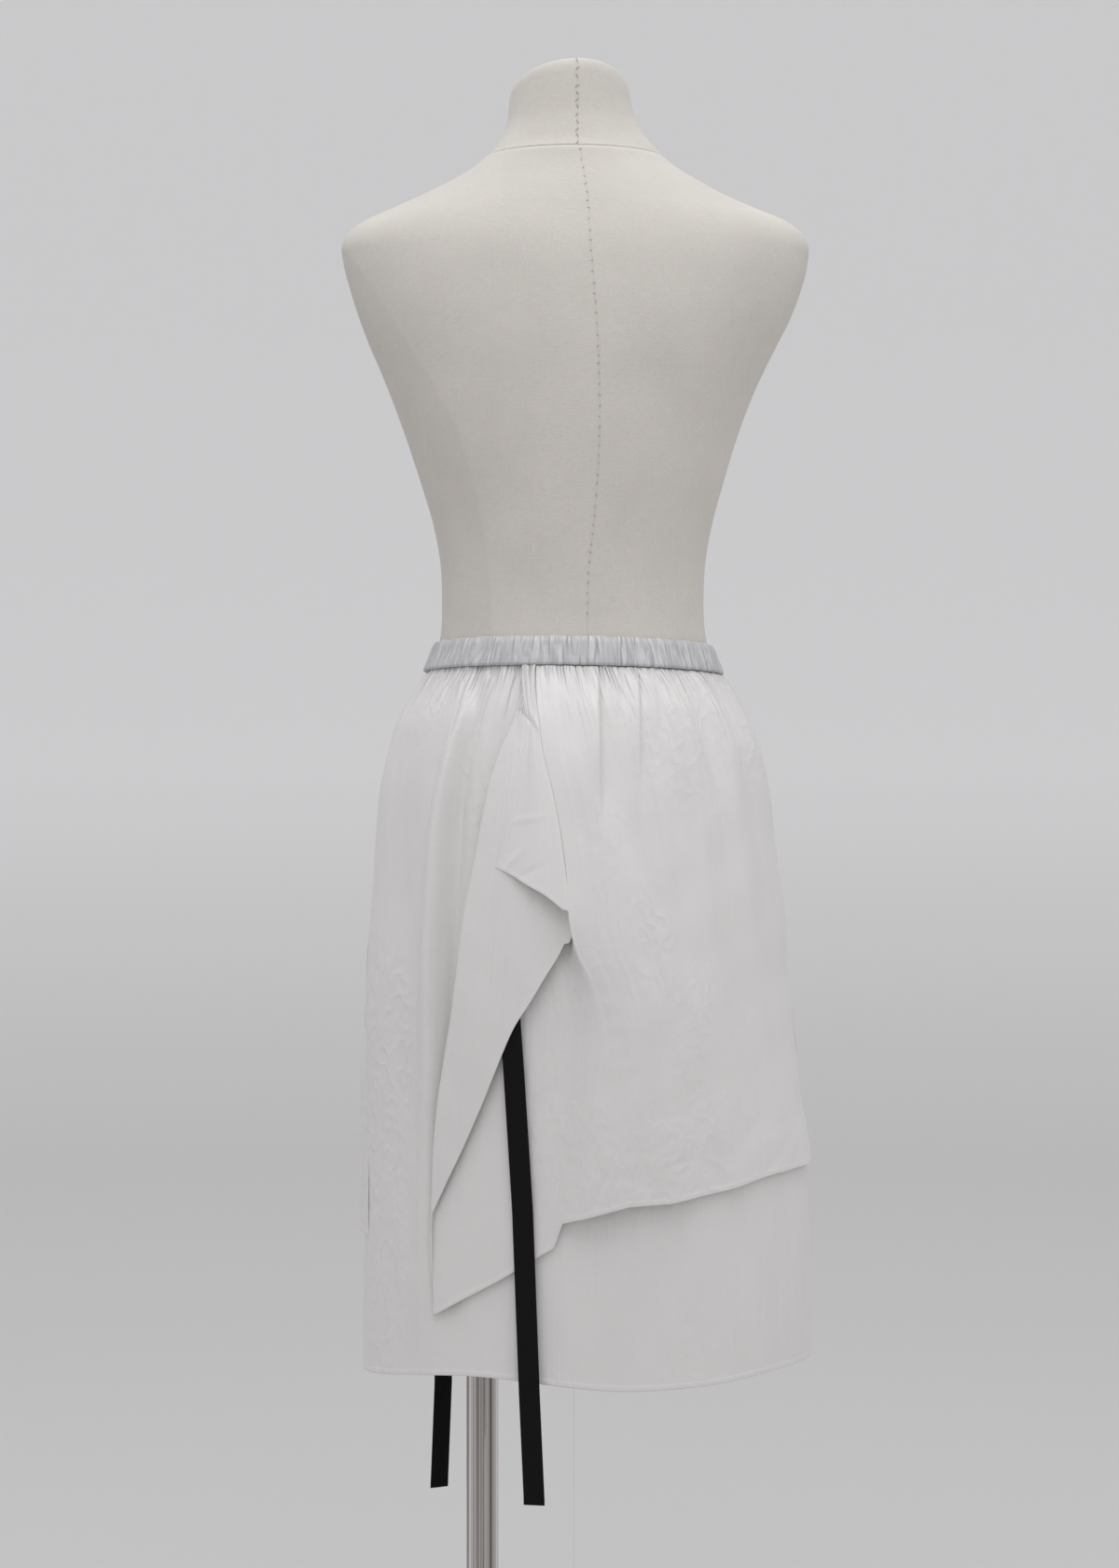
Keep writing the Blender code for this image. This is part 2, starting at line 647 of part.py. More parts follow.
def slanted_neck(rings):
    """Lift the neck's rings more and more towards its top, so that the top slopes up to the back
    and a little to the right."""
    low, high = NECK[0].height, NECK[-1].height
    lifted = []
    for ring in rings:
        share = ((ring[:, 2] - low) / (high - low)) ** NECK_SLANT_POWER
        rise = share * (-NECK_RISE_BACK * ring[:, 1] + NECK_RISE_RIGHT * ring[:, 0])
        lifted.append(ring + np.stack([0 * rise, 0 * rise, rise], axis=-1))
    top = lifted[-1]
    middle = top.mean(axis=0)
    smaller = middle + NECK_CROWN_SHARE * (top - middle) + np.array([0.0, 0.0, NECK_CROWN])
    return lifted + [smaller]


def turned(name, radius, low, high, x, material, segments=32, bevel=0.0):
    """A round bar or disc that stands on its end."""
    work = bmesh.new()
    bmesh.ops.create_cone(
        work, cap_ends=True, segments=segments, radius1=radius, radius2=radius, depth=high - low
    )
    mesh = bpy.data.meshes.new(name)
    work.to_mesh(mesh)
    work.free()
    mesh.shade_smooth()
    mesh.set_sharp_from_angle(angle=math.radians(50))
    mesh.materials.append(material)
    made = bpy.data.objects.new(name, mesh)
    made.location = (x, 0.0, (low + high) / 2)
    bpy.context.collection.objects.link(made)
    if bevel:
        rounding = made.modifiers.new("edge", "BEVEL")
        rounding.width = bevel
        rounding.segments = 2
        rounding.limit_method = "ANGLE"
        rounding.angle_limit = math.radians(50)
    return made


def cloth_y(side, x, height, out):
    """How far to the back or the front the skirt's cloth reaches at x with this stand-off."""
    half = np.where(x > 0, read(SKIRT, "right", height), read(SKIRT, "left", height)) + out
    deep = read(SKIRT, side, height) + out
    return deep * np.sqrt(np.clip(1.0 - (x / half) ** 2, 0.0, 1.0))


def tape(name, reach_at, x_at, top, end, side, turn, material):
    """A flat tie, turned a little to lie along the cloth: it hangs from its sewn end, and never
    passes back through the cloth below."""
    heights = np.linspace(top, end, 22)
    needs = []
    for across in (-0.5, 0.0, 0.5):
        edge_x = x_at(heights) + across * TIE_WIDTH * math.cos(turn)
        needs.append(reach_at(edge_x, heights) - across * TIE_WIDTH * math.sin(turn))
    middle = np.maximum.accumulate(np.max(needs, axis=0)) + TAPE / 2 + SEAM_GAP

    def point(across, drop):
        h = top + drop * (end - top)
        x = x_at(h) + across * TIE_WIDTH * math.cos(turn)
        y = np.interp(-h, -heights, middle) + across * TIE_WIDTH * math.sin(turn)
        return np.stack([x, side * y, h], axis=-1)

    rows = [(drop, np.array([-0.5, 0.5])) for drop in np.linspace(0, 1, len(heights))]
    return cloth_wall(name, point, rows, TAPE, material)


def back_tie_x(height):
    """The middle of the back tie, which leans to the right on its way down."""
    return np.interp(height, column(BACK_TIE_LINE, "height"), column(BACK_TIE_LINE, "x"))


def back_tie_reach(x, height):
    """Where the back tie may hang: inside the second layer by its sewn end, then off the main one."""
    over = read(STANDS, "over", height)
    inside = second_out(height, TIE_SHARE) - CLOTH / 2 - TAPE - TIE_CLEAR
    sewn = height > BACK_TIE_END + TIE_LENGTH - TIE_SEWN
    out = np.where(sewn, inside, over + CLOTH)
    return cloth_y("back", x, np.maximum(height, UNDER_LOWEST), out)


def front_tie_x(height):
    """The middle of the front tie."""
    return np.interp(height, column(FRONT_TIE_LINE, "height"), column(FRONT_TIE_LINE, "x"))


def front_tie_reach(x, height):
    """Where the front tie may hang: on the front overskirt at x, on the wearer's front."""
    angle = 2 * math.pi - back_angle(x, height)
    low = np.maximum(height, UNDER_LOWEST)
    out = read(STANDS, "over", low) + fold_out(SHARED_FRONT_FOLDS, angle, low)
    return cloth_y("front", x, low, out)


def subset_rows(drops, fine, coarse, fine_count):
    """Rows of places: fine ones for the first rows and coarse ones below."""
    return [(drop, fine if i < fine_count else coarse) for i, drop in enumerate(drops)]


def build():
    for old in list(bpy.data.objects):
        bpy.data.objects.remove(old, do_unlink=True)
    satin = new_material("off_white_satin", (0.80, 0.79, 0.77), 0.42)
    band_cloth = new_material("waistband_satin", (0.80, 0.80, 0.80), 0.45)
    tape_black = new_material("black_tape", (0.012, 0.012, 0.013), 0.70)
    linen = new_material("form_linen", (0.60, 0.57, 0.53), 0.90)
    chrome = new_material("polished_steel", (0.62, 0.60, 0.58), 0.15, 1.0)

    waistband(band_cloth)

    # Underskirt
    start, turn = SEAM_ANGLE, math.pi - SEAM_ANGLE
    gathered = np.linspace(UNDER_GATHER_START, turn, 2 * UNDER_GATHERS + 1)
    plain = np.linspace(start, UNDER_GATHER_START, 9)[:-1]
    ridge_columns = np.radians([126.5, 129.0, 131.5, 134.0])
    fine = np.concatenate([plain, gathered])
    coarse = np.unique(np.concatenate([plain, gathered[::2], ridge_columns]))
    drops = np.array([0.0, 0.02, 0.05, 0.09, 0.14, 0.2, 0.28, 0.38, 0.5, 0.63, 0.77, 0.9, 1.0])
    cloth_wall(
        "underskirt_back",
        lambda angle, drop: under_point(angle, drop, UNDER_GATHER_START),
        subset_rows(drops, fine, coarse, 4),
        CLOTH,
        satin,
    )
    front_columns = np.linspace(math.pi + SEAM_ANGLE, 2 * math.pi - SEAM_ANGLE, 43)
    front_drops = np.array([0.0, 0.04, 0.09, 0.16, 0.28, 0.5, 0.78, 1.0])
    cloth_wall(
        "underskirt_front",
        under_point,
        [(drop, front_columns) for drop in front_drops],
        CLOTH,
        satin,
    )

    # Overskirt
    fine_main = np.linspace(0.0, 1.0, 2 * BACK_GATHERS + 1)
    coarse_main = np.unique(np.concatenate([fine_main[::2], RIDGE_PLACES]))
    cascade = np.concatenate(
        [
            np.linspace(1, 2, 5)[1:],
            np.linspace(2, 3, 7)[1:],
            np.linspace(3, 4, 6)[1:],
            np.linspace(4, 5, 5)[1:],
        ]
    )
    back_drops = np.array(
        [0.0, 0.03, 0.07, 0.12, 0.19, 0.27, 0.36, 0.45, 0.55, 0.65, 0.75, 0.84, 0.92, 1.0]
    )
    cloth_wall(
        "overskirt_back",
        back_point,
        subset_rows(
            back_drops,
            np.concatenate([fine_main, cascade]),
            np.concatenate([coarse_main, cascade]),
            4,
        ),
        CLOTH,
        satin,
    )
    fine_front = np.linspace(FRONT_START, FRONT_END, 2 * FRONT_GATHERS + 1)
    front_over_drops = np.array([0.0, 0.04, 0.09, 0.16, 0.28, 0.45, 0.65, 0.84, 1.0])
    cloth_wall(
        "overskirt_front",
        front_point,
        subset_rows(front_over_drops, fine_front, fine_front[::2], 3),
        CLOTH,
        satin,
    )

    # Ties
    back_top = BACK_TIE_END + TIE_LENGTH
    front_top = FRONT_TIE_END + TIE_LENGTH
    back_place = (back_tie_reach, back_tie_x, back_top, BACK_TIE_END, -1, BACK_TIE_TURN)
    front_place = (front_tie_reach, front_tie_x, front_top, FRONT_TIE_END, 1, FRONT_TIE_TURN)
    tape("tie_back", *back_place, tape_black)
    tape("tie_front", *front_place, tape_black)

    # Dress form and stand
    lofted("form_torso", FORM, 40, linen)
    lofted("form_neck", NECK, 32, linen, slanted_neck)
    socket_bottom = FORM_BOTTOM - SEAM_GAP - SOCKET_HEIGHT
    turned("pole_socket", SOCKET_RADIUS, socket_bottom, FORM_BOTTOM - SEAM_GAP, POLE_X, chrome)
    turned(
        "pole", POLE_RADIUS, BASE_HEIGHT + SEAM_GAP, socket_bottom - SEAM_GAP, POLE_X, chrome
    )
    turned("base_plate", BASE_RADIUS, 0.0, BASE_HEIGHT, 0.0, chrome, 64, 0.002)


build()
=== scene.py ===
"""Layered satin skirt, seen from the back, on a limbless linen dress form with a steel pole.

Metres, +Z up. The wearer's back faces -Y and the wearer's left is -X. Around the body, an angle of 0
is the right side (+X), 90 degrees is the middle of the back (-Y), 180 the left side (-X) and 270 the
middle of the front (+Y). Every cloth is a thin shell on the form of its solid in the frame.
"""
import math
from collections import namedtuple

import bpy
import numpy as np
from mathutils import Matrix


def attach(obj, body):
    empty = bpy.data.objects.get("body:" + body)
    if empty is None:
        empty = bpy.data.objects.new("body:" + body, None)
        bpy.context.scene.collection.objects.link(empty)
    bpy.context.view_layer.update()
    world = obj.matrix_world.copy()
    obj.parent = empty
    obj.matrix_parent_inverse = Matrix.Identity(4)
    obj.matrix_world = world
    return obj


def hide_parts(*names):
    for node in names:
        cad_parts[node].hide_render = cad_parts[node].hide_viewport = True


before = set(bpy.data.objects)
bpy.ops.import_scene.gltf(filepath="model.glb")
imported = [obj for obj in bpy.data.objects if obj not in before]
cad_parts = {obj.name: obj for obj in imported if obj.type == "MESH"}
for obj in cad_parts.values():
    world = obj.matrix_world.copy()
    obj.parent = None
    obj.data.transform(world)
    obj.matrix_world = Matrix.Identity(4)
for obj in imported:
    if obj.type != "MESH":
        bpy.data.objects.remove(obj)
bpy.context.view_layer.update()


def table(columns, rows):
    """Rows of numbers as rows with named columns."""
    Row = namedtuple("Row", columns)
    return [Row(*row) for row in rows]


# Cloth and seams
CLOTH = 0.0014
TAPE = 0.0012
SEAM_GAP = 0.0003
SEAM_ANGLE = 0.0007

# Where the front overskirt starts and ends and the underskirt's gathers start, as angles, and the
# share of the back overskirt's main layer at which its long ridge lies
FRONT_START = math.radians(190.0)
FRONT_END = 2 * math.pi - SEAM_ANGLE
UNDER_GATHER_START = math.radians(104.0)
CREST_SHARE = 0.74

# Waistband: its bottom and top are planes that rise a little towards the back and the left, and it
# is drawn in 8 columns to a gather
BAND_BOTTOM = 0.9730
BAND_TOP = 0.9985
BAND_RISE_BACK = 0.045
BAND_RISE_LEFT = 0.012
BAND_GATHERS = 108
BAND_CLEARANCE = 0.0006
BAND_GATHER_DEPTH = 0.0010

# Gathers under the band: how far their puffs stand out and their creases fall in, how many creases
# each layer has, the cascade's first one and the way to the next, and the share of the layers'
# stand-offs that is sewn flat at the band
GATHER_OUT = 0.0024
GATHER_IN = 0.0023
BACK_CREASE_COUNT = 42
CASCADE_CREASE_COUNT = 9
UNDER_CREASE_COUNT = 20
FRONT_CREASE_COUNT = 60
CASCADE_GATHER_START = -0.054
CASCADE_GATHER_PITCH = 0.0058
SEWN_FLAT = 0.72

# Ties
TIE_WIDTH = 0.018
TIE_LENGTH = 0.41
BACK_TIE_END = 0.2738
FRONT_TIE_END = 0.2345
TIE_SEWN = 0.030
TIE_SHARE = 0.54
TIE_CLEAR = 0.0013
BACK_TIE_TURN = math.radians(12)
FRONT_TIE_TURN = math.radians(30)
UNDER_LOWEST = 0.366

# Stand
POLE_X = -0.080
POLE_RADIUS = 0.014
SOCKET_RADIUS = 0.036
SOCKET_HEIGHT = 0.010
BASE_RADIUS = 0.200
BASE_HEIGHT = 0.010
FORM_BOTTOM = 0.760
FORM_TOP = 1.4255

# Half widths to the left and right, half depths to the back and front, at a height
SECTION = "height left right back front"

# The underskirt's middle surface; every other layer stands off it
SKIRT = table(SECTION, [
    (0.34, 0.185, 0.2065, 0.145, 0.14),
    (0.366, 0.1846, 0.2075, 0.145, 0.14),
    (0.45, 0.1834, 0.208, 0.145, 0.14),
    (0.54, 0.1825, 0.2045, 0.144, 0.139),
    (0.62, 0.1828, 0.1925, 0.1425, 0.137),
    (0.7, 0.1815, 0.1835, 0.14, 0.134),
    (0.78, 0.1758, 0.177, 0.136, 0.13),
    (0.836, 0.1722, 0.17, 0.1315, 0.126),
    (0.88, 0.1678, 0.165, 0.126, 0.1215),
    (0.912, 0.16, 0.1575, 0.12, 0.1165),
    (0.929, 0.1545, 0.151, 0.1155, 0.1125),
    (0.943, 0.1475, 0.144, 0.111, 0.1085),
    (0.958, 0.138, 0.136, 0.105, 0.1035),
    (0.973, 0.129, 0.128, 0.0985, 0.098),
])

# The dress form, from its flat bottom to the root of the neck
FORM = table(SECTION, [
    (FORM_BOTTOM, 0.138, 0.138, 0.102, 0.095),
    (0.766, 0.147, 0.147, 0.109, 0.101),
    (0.785, 0.156, 0.156, 0.115, 0.1055),
    (0.82, 0.162, 0.161, 0.118, 0.108),
    (0.86, 0.16, 0.158, 0.115, 0.108),
    (0.9, 0.153, 0.151, 0.109, 0.105),
    (0.93, 0.144, 0.143, 0.104, 0.1015),
    (0.955, 0.1335, 0.1325, 0.0995, 0.098),
    (0.975, 0.1255, 0.1245, 0.0957, 0.0948),
    (0.99, 0.12, 0.1195, 0.092, 0.0912),
    (1.006, 0.1168, 0.116, 0.089, 0.0888),
    (1.04, 0.1156, 0.1142, 0.0865, 0.0875),
    (1.072, 0.1172, 0.1161, 0.0868, 0.089),
    (1.104, 0.1233, 0.1218, 0.089, 0.0935),
    (1.14, 0.134, 0.1316, 0.0925, 0.1),
    (1.183, 0.1483, 0.1447, 0.0965, 0.109),
    (1.222, 0.1628, 0.1597, 0.0995, 0.115),
    (1.24, 0.1702, 0.168, 0.1005, 0.114),
    (1.262, 0.1797, 0.1792, 0.101, 0.11),
    (1.286, 0.1886, 0.1912, 0.1005, 0.102),
    (1.31, 0.1962, 0.2, 0.0985, 0.092),
    (1.333, 0.202, 0.2056, 0.0955, 0.083),
    (1.35, 0.203, 0.2056, 0.092, 0.077),
    (1.361, 0.196, 0.1985, 0.089, 0.0735),
    (1.369, 0.1845, 0.187, 0.0865, 0.0705),
    (1.378, 0.1645, 0.165, 0.0835, 0.0675),
    (1.391, 0.1352, 0.1348, 0.0785, 0.0635),
    (1.405, 0.1065, 0.1092, 0.0725, 0.0605),
    (1.4145, 0.0908, 0.0932, 0.0688, 0.059),
    (FORM_TOP, 0.077, 0.0788, 0.0656, 0.0578),
])

NECK_BOTTOM = FORM_TOP + SEAM_GAP
NECK = table(SECTION, [
    (NECK_BOTTOM, 0.0758, 0.0776, 0.065, 0.0573),
    (1.431, 0.0712, 0.0738, 0.0622, 0.0552),
    (1.44, 0.0648, 0.0657, 0.059, 0.053),
    (1.451, 0.0598, 0.058, 0.0562, 0.0515),
    (1.465, 0.0574, 0.052, 0.0548, 0.0505),
    (1.474, 0.0566, 0.0503, 0.0541, 0.0502),
    (1.479, 0.056, 0.0491, 0.0536, 0.05),
    (1.4825, 0.0548, 0.0478, 0.0524, 0.049),
    (1.485, 0.0527, 0.0462, 0.0505, 0.0474),
    (1.486, 0.0505, 0.0445, 0.0485, 0.0455),
])
NECK_SEAM_X = 0.0030
NECK_RISE_BACK = 0.36
NECK_RISE_RIGHT = 0.05
NECK_CROWN = 0.003

# How far the overskirt's middle surface stands off the underskirt's, at a height, and how far its
# cascade's second and third layers stand off the layer under them
STANDS = table("height over second third", [
    (0.42, 0.0036, 0.003, 0.009),
    (0.5, 0.004, 0.0038, 0.009),
    (0.6, 0.0052, 0.0062, 0.011),
    (0.7, 0.006, 0.0082, 0.012),
    (0.77, 0.006, 0.0086, 0.0115),
    (0.82, 0.0056, 0.0078, 0.0085),
    (0.88, 0.0052, 0.0062, 0.0055),
    (0.93, 0.0046, 0.004, 0.0036),
    (0.973, 0.0036, 0.0026, 0.0026),
])

# The cascade's lines across the back, as x at a height: the outer fold on the left, the inner fold
# on the right and the free end's edge
CASCADE = table("height outer inner end", [
    (0.425, -0.1186, -0.0022, -0.098),
    (0.514, -0.1171, -0.0022, -0.098),
    (0.595, -0.1116, -0.0022, -0.096),
    (0.706, -0.0955, -0.0022, -0.084),
    (0.763, -0.0888, -0.0022, -0.0715),
    (0.806, -0.081, -0.007, -0.0617),
    (0.841, -0.0752, -0.0118, -0.0531),
    (0.879, -0.068, -0.0192, -0.0442),
    (0.904, -0.0602, -0.025, -0.0405),
    (0.927, -0.0508, -0.0276, -0.0385),
    (0.944, -0.0451, -0.03, -0.0405),
    (0.973, -0.0375, -0.0325, -0.044),
])

# Hem heights. The back overskirt's by x; those of the cascade's layers by the share of the way
# from the fold where the layer starts; the others by the angle in degrees
HEM = "place height"
BACK_HEM = table(HEM, [
    (-0.1194, 0.4251),
    (-0.0906, 0.4432),
    (-0.0591, 0.4613),
    (-0.0341, 0.4777),
    (-0.015, 0.489),
    (-0.012, 0.508),
    (0.0188, 0.5163),
    (0.0437, 0.5228),
    (0.0775, 0.5244),
    (0.1253, 0.5329),
    (0.1707, 0.5438),
    (0.2116, 0.548),
])
SECOND_HEM = table(HEM, [
    (0.0, 0.5137),
    (0.06, 0.53),
    (0.15, 0.5537),
    (0.33, 0.6042),
    (0.54, 0.6688),
    (0.69, 0.6936),
    (0.83, 0.716),
    (0.95, 0.7335),
    (1.0, 0.7425),
])
THIRD_HEM = table(HEM, [
    (0.0, 0.7712),
    (0.19, 0.7818),
    (0.5, 0.7926),
    (0.75, 0.8003),
    (1.0, 0.806),
])
FRONT_HEM = table(HEM, [
    (180.0, 0.4787),
    (215.0, 0.495),
    (260.0, 0.518),
    (300.0, 0.533),
    (360.0, 0.548),
])
UNDER_HEM = table(HEM, [
    (0.0, 0.377),
    (30.0, 0.376),
    (62.0, 0.368),
    (80.0, 0.3675),
    (95.0, 0.3725),
    (112.0, 0.3775),
    (132.0, 0.3755),
    (152.0, 0.3695),
    (180.0, 0.366),
    (225.0, 0.37),
    (270.0, 0.372),
    (315.0, 0.3745),
    (360.0, 0.377),
])

# Long folds: the angle in degrees at the waist and at the hem, how far they stand out at three
# heights, and half of their width in degrees
FOLD = "waist hem at_waist at_middle at_hem width"
RIGHT_BACK_FOLDS = table(FOLD, [
    (20.0, 15.0, 0.004, 0.0025, 0.002, 6.0),
    (37.0, 31.0, 0.005, 0.0034, 0.002, 5.0),
    (53.0, 50.0, 0.0046, 0.0026, 0.0025, 5.5),
    (67.0, 66.0, 0.0046, 0.0026, 0.0045, 5.5),
    (83.0, 84.0, 0.004, 0.001, 0.0, 5.0),
])
LEFT_BACK_FOLDS = table(FOLD, [
    (147.0, 141.0, 0.002, -0.004, -0.001, 7.0),
    (164.0, 161.0, 0.003, 0.0035, 0.002, 8.0),
])
SHARED_FRONT_FOLDS = table(FOLD, [
    (200.0, 196.0, 0.001, 0.004, 0.006, 7.0),
    (222.0, 220.0, 0.0012, 0.005, 0.007, 7.5),
    (246.0, 247.0, 0.001, 0.0045, 0.005, 8.0),
    (270.0, 272.0, 0.0012, 0.004, 0.006, 7.0),
    (292.0, 296.0, 0.001, 0.005, 0.0065, 8.0),
    (316.0, 319.0, 0.0012, 0.0045, 0.0055, 7.5),
    (338.0, 341.0, 0.001, 0.0035, 0.0045, 7.0),
])
WAIST_FOLD_HEIGHT = 0.940
MIDDLE_FOLD_HEIGHT = 0.780
HEM_FOLD_HEIGHT = 0.450

# The sharp ridge down the left of the back: x, how far it stands out and half its width
LEFT_RIDGE = table("height x out width", [
    (0.366, -0.129, 0.0012, 0.012),
    (0.48, -0.1262, 0.0042, 0.01),
    (0.6, -0.1225, 0.0078, 0.0085),
    (0.753, -0.12, 0.01, 0.008),
    (0.851, -0.1129, 0.0095, 0.0068),
    (0.902, -0.1042, 0.0075, 0.0058),
    (0.941, -0.0932, 0.0045, 0.005),
    (0.97, -0.09, 0.0008, 0.005),
])

# The valley on the ridge's right: a share of its stand-off and its distance in half widths
VALLEY_SHARE = 0.60
VALLEY_AWAY = 2.3

# The overskirt's long ridge beside the cascade: how far its crest is from the inner fold, how far it
# stands out and half its width on the cascade's steep side and on the other, soft one
CREST = table("height beside out steep soft", [
    (0.42, 0.01, 0.007, 0.012, 0.06),
    (0.5, 0.014, 0.0095, 0.015, 0.06),
    (0.6, 0.024, 0.012, 0.022, 0.06),
    (0.69, 0.022, 0.015, 0.019, 0.065),
    (0.717, 0.013, 0.0168, 0.011, 0.065),
    (0.733, 0.0048, 0.0182, 0.004, 0.065),
    (0.747, 0.0007, 0.019, 0.0004, 0.065),
    (0.806, 0.0007, 0.016, 0.0004, 0.06),
    (0.841, 0.0007, 0.0128, 0.0004, 0.055),
    (0.879, 0.0007, 0.0098, 0.0004, 0.045),
    (0.927, 0.0007, 0.0064, 0.0004, 0.03),
    (0.973, 0.001, 0.0018, 0.0008, 0.02),
])

# The swell of the cascade's second layer, as a share of its stand-off, and how far the third
# layer's free end settles back on it
SECOND_SWELL = 0.15
THIRD_SETTLE = 0.85

# The front overskirt's free end on the left: it lies close above, wraps round to the back between
# two heights, flares out a little towards its hem, and its very edge settles on the underskirt
FREE_END_TOP = 0.690
FREE_END_LOW = 0.500
FREE_END_FLARE = 0.0020
FREE_END_CLOSE = 0.0022
FREE_END_REACH = math.radians(16)
FREE_END_WRAP = math.radians(27)
WRAP_TOP = 0.700
WRAP_LOW = 0.620
EDGE_REACH = math.radians(7)
EDGE_SETTLE = 0.0054


def column(table, name):
    """One named column of a table, as an array."""
    return np.array([getattr(row, name) for row in table])


def read(table, name, place, by="height"):
    """A table's column at a place: a cubic through its rows, with slopes from their neighbours."""
    known = column(table, by)
    values = column(table, name)
    place = np.clip(np.asarray(place, float), known[0], known[-1])
    slopes = np.gradient(values, known)
    i = np.clip(np.searchsorted(known, place, side="right") - 1, 0, len(known) - 2)
    span = known[i + 1] - known[i]
    u = (place - known[i]) / span
    start = (1 + 2 * u) * (1 - u) ** 2 * values[i] + u * (1 - u) ** 2 * span * slopes[i]
    end = u * u * (3 - 2 * u) * values[i + 1] + u * u * (u - 1) * span * slopes[i + 1]
    return start + end


def step(value, low, high):
    """0 below low, 1 above high, and smooth between."""
    u = np.clip((np.asarray(value, float) - low) / (high - low), 0.0, 1.0)
    return u * u * (3 - 2 * u)


def around(table, angle, height, out=0.0):
    """Points of a body whose cross-sections are four quarter ellipses, moved out by a distance
    along the level normal."""
    c, s = np.cos(angle), np.sin(angle)
    half = np.where(c > 0, read(table, "right", height), read(table, "left", height))
    deep = np.where(s > 0, read(table, "back", height), read(table, "front", height))
    nx, ny = c / half, -s / deep
    size = np.hypot(nx, ny)
    x, y = half * c + out * nx / size, -deep * s + out * ny / size
    return np.stack([x, y, height + 0 * c], axis=-1)


def back_angle(x, height):
    """The angle at which the skirt's back has this x."""
    half = np.where(x > 0, read(SKIRT, "right", height), read(SKIRT, "left", height))
    return np.arccos(np.clip(x / half, -1.0, 1.0))


def band_plane(height, x, y):
    """The height of a tilted plane of the waistband above a point."""
    return height - BAND_RISE_BACK * y - BAND_RISE_LEFT * x


def waist_edge(angle):
    """The height of the cloth's top edge, just under the waistband."""
    at = around(SKIRT, angle, BAND_BOTTOM + 0 * angle)
    return band_plane(BAND_BOTTOM, at[..., 0], at[..., 1]) - SEAM_GAP


def fold_out(folds, angle, height):
    """How far a table of long folds stands out: each is a bell across, and its height runs from
    its waist value through the middle one to the hem's."""
    total = 0.0 * angle
    for fold in folds:
        down = step(-height, -WAIST_FOLD_HEIGHT, -HEM_FOLD_HEIGHT)
        centre = np.radians(fold.waist + (fold.hem - fold.waist) * down)
        tall = np.interp(
            height,
            [HEM_FOLD_HEIGHT, MIDDLE_FOLD_HEIGHT, WAIST_FOLD_HEIGHT, BAND_BOTTOM],
            [fold.at_hem, fold.at_middle, fold.at_waist, 0.3 * fold.at_waist],
        )
        total = total + tall * np.exp(-(((angle - centre) / np.radians(fold.width)) ** 2))
    return total


def gather_out(turns, height, top, count, seed):
    """Gathers under the band: puffs with sharp creases between them. Each crease is a fall of e to
    the power of minus its distance, with a place, depth, width, lean and length of its own."""
    chance = np.random.default_rng(seed)
    below = np.clip(top - height, 0.0, None)
    total = GATHER_OUT * np.exp(-below / 0.020) * (1.0 - np.exp(-below / 0.004))
    for i in range(count + 1):
        centre = i + chance.uniform(-0.34, 0.34)
        lean = chance.normal(0.0, 0.45)
        long = chance.uniform() < 0.30
        reach = chance.uniform(0.030, 0.065) if long else chance.uniform(0.007, 0.022)
        deep = GATHER_IN * chance.uniform(0.5, 1.3)
        wide = chance.uniform(0.16, 0.30)
        away = turns - centre - lean * below / 0.040
        soft = np.sqrt(away ** 2 + 0.004) / (wide * (1.0 + 0.8 * below / reach))
        total = total - deep * np.exp(-soft - (below / reach) ** 1.3)
    return total


def pleat_out(pleats, x, height):
    """Sharp falls between the long folds: the cloth rises to a line and drops just right of it. The
    rise is e to the power of its distance over its reach, and the drop recovers in the same way."""
    total = 0.0 * x
    for pleat in pleats:
        share = (pleat.top - height) / (pleat.top - pleat.low)
        away = x - pleat.x_top - (pleat.x_low - pleat.x_top) * np.clip(share, 0.0, 1.3)
        fade = step(share, -0.25, 0.06) * (1.0 - step(share, 0.55, 1.30))
        sharp = pleat.sharp * (1.0 + 3.0 * np.clip(share, 0.0, 1.3))
        right = step(away, -sharp, sharp)
        rise = np.exp(np.minimum(away, 0.0) / pleat.reach)
        fall = -0.45 * np.exp(-np.maximum(away, 0.0) / 0.009)
        total = total + pleat.depth * fade * ((1.0 - right) * rise + right * fall)
    return total


def squeezed(height, top):
    """The share of the layers' stand-offs that is left near the band, where they are sewn flat."""
    return 1.0 - SEWN_FLAT * np.exp(-np.clip(top - height, 0.0, None) / 0.0075)


def waist_tuck(height, top, depth):
    """The cloth's top edge drawn in under the band, back out within a few millimetres."""
    return -depth * np.exp(-np.clip(top - height, 0.0, None) / 0.006)


def under_point(angle, drop, gathered_from=None):
    """The underskirt: angle round the body, and drop from 0 at the waist to 1 at the hem."""
    top = waist_edge(angle)
    hem = read(UNDER_HEM, "height", np.degrees(angle), by="place")
    height = top + drop * (hem - top)
    out = fold_out(SHARED_FRONT_FOLDS + LEFT_BACK_FOLDS, angle, height)
    x = around(SKIRT, angle, height)[..., 0]
    ridge = (x - read(LEFT_RIDGE, "x", height)) / read(LEFT_RIDGE, "width", height)
    on_back = np.sin(angle) > 0
    folded = np.exp(-(ridge ** 2)) - VALLEY_SHARE * np.exp(-((ridge - VALLEY_AWAY) ** 2))
    out = out + np.where(on_back, read(LEFT_RIDGE, "out", height) * folded, 0.0)
    if gathered_from is not None:
        share = (angle - gathered_from) / (math.pi - gathered_from)
        waves = gather_out(UNDER_CREASE_COUNT * share, height, top, UNDER_CREASE_COUNT, 5)
        out = out + waves * step(share, -0.02, 0.06)
        out = out + pleat_out(UNDER_PLEATS, x, height)
    out = out + waist_tuck(height, top, 0.0006) + rumple(angle * 0.16, height, 11, 0.00030)
    return around(SKIRT, angle, height, out)


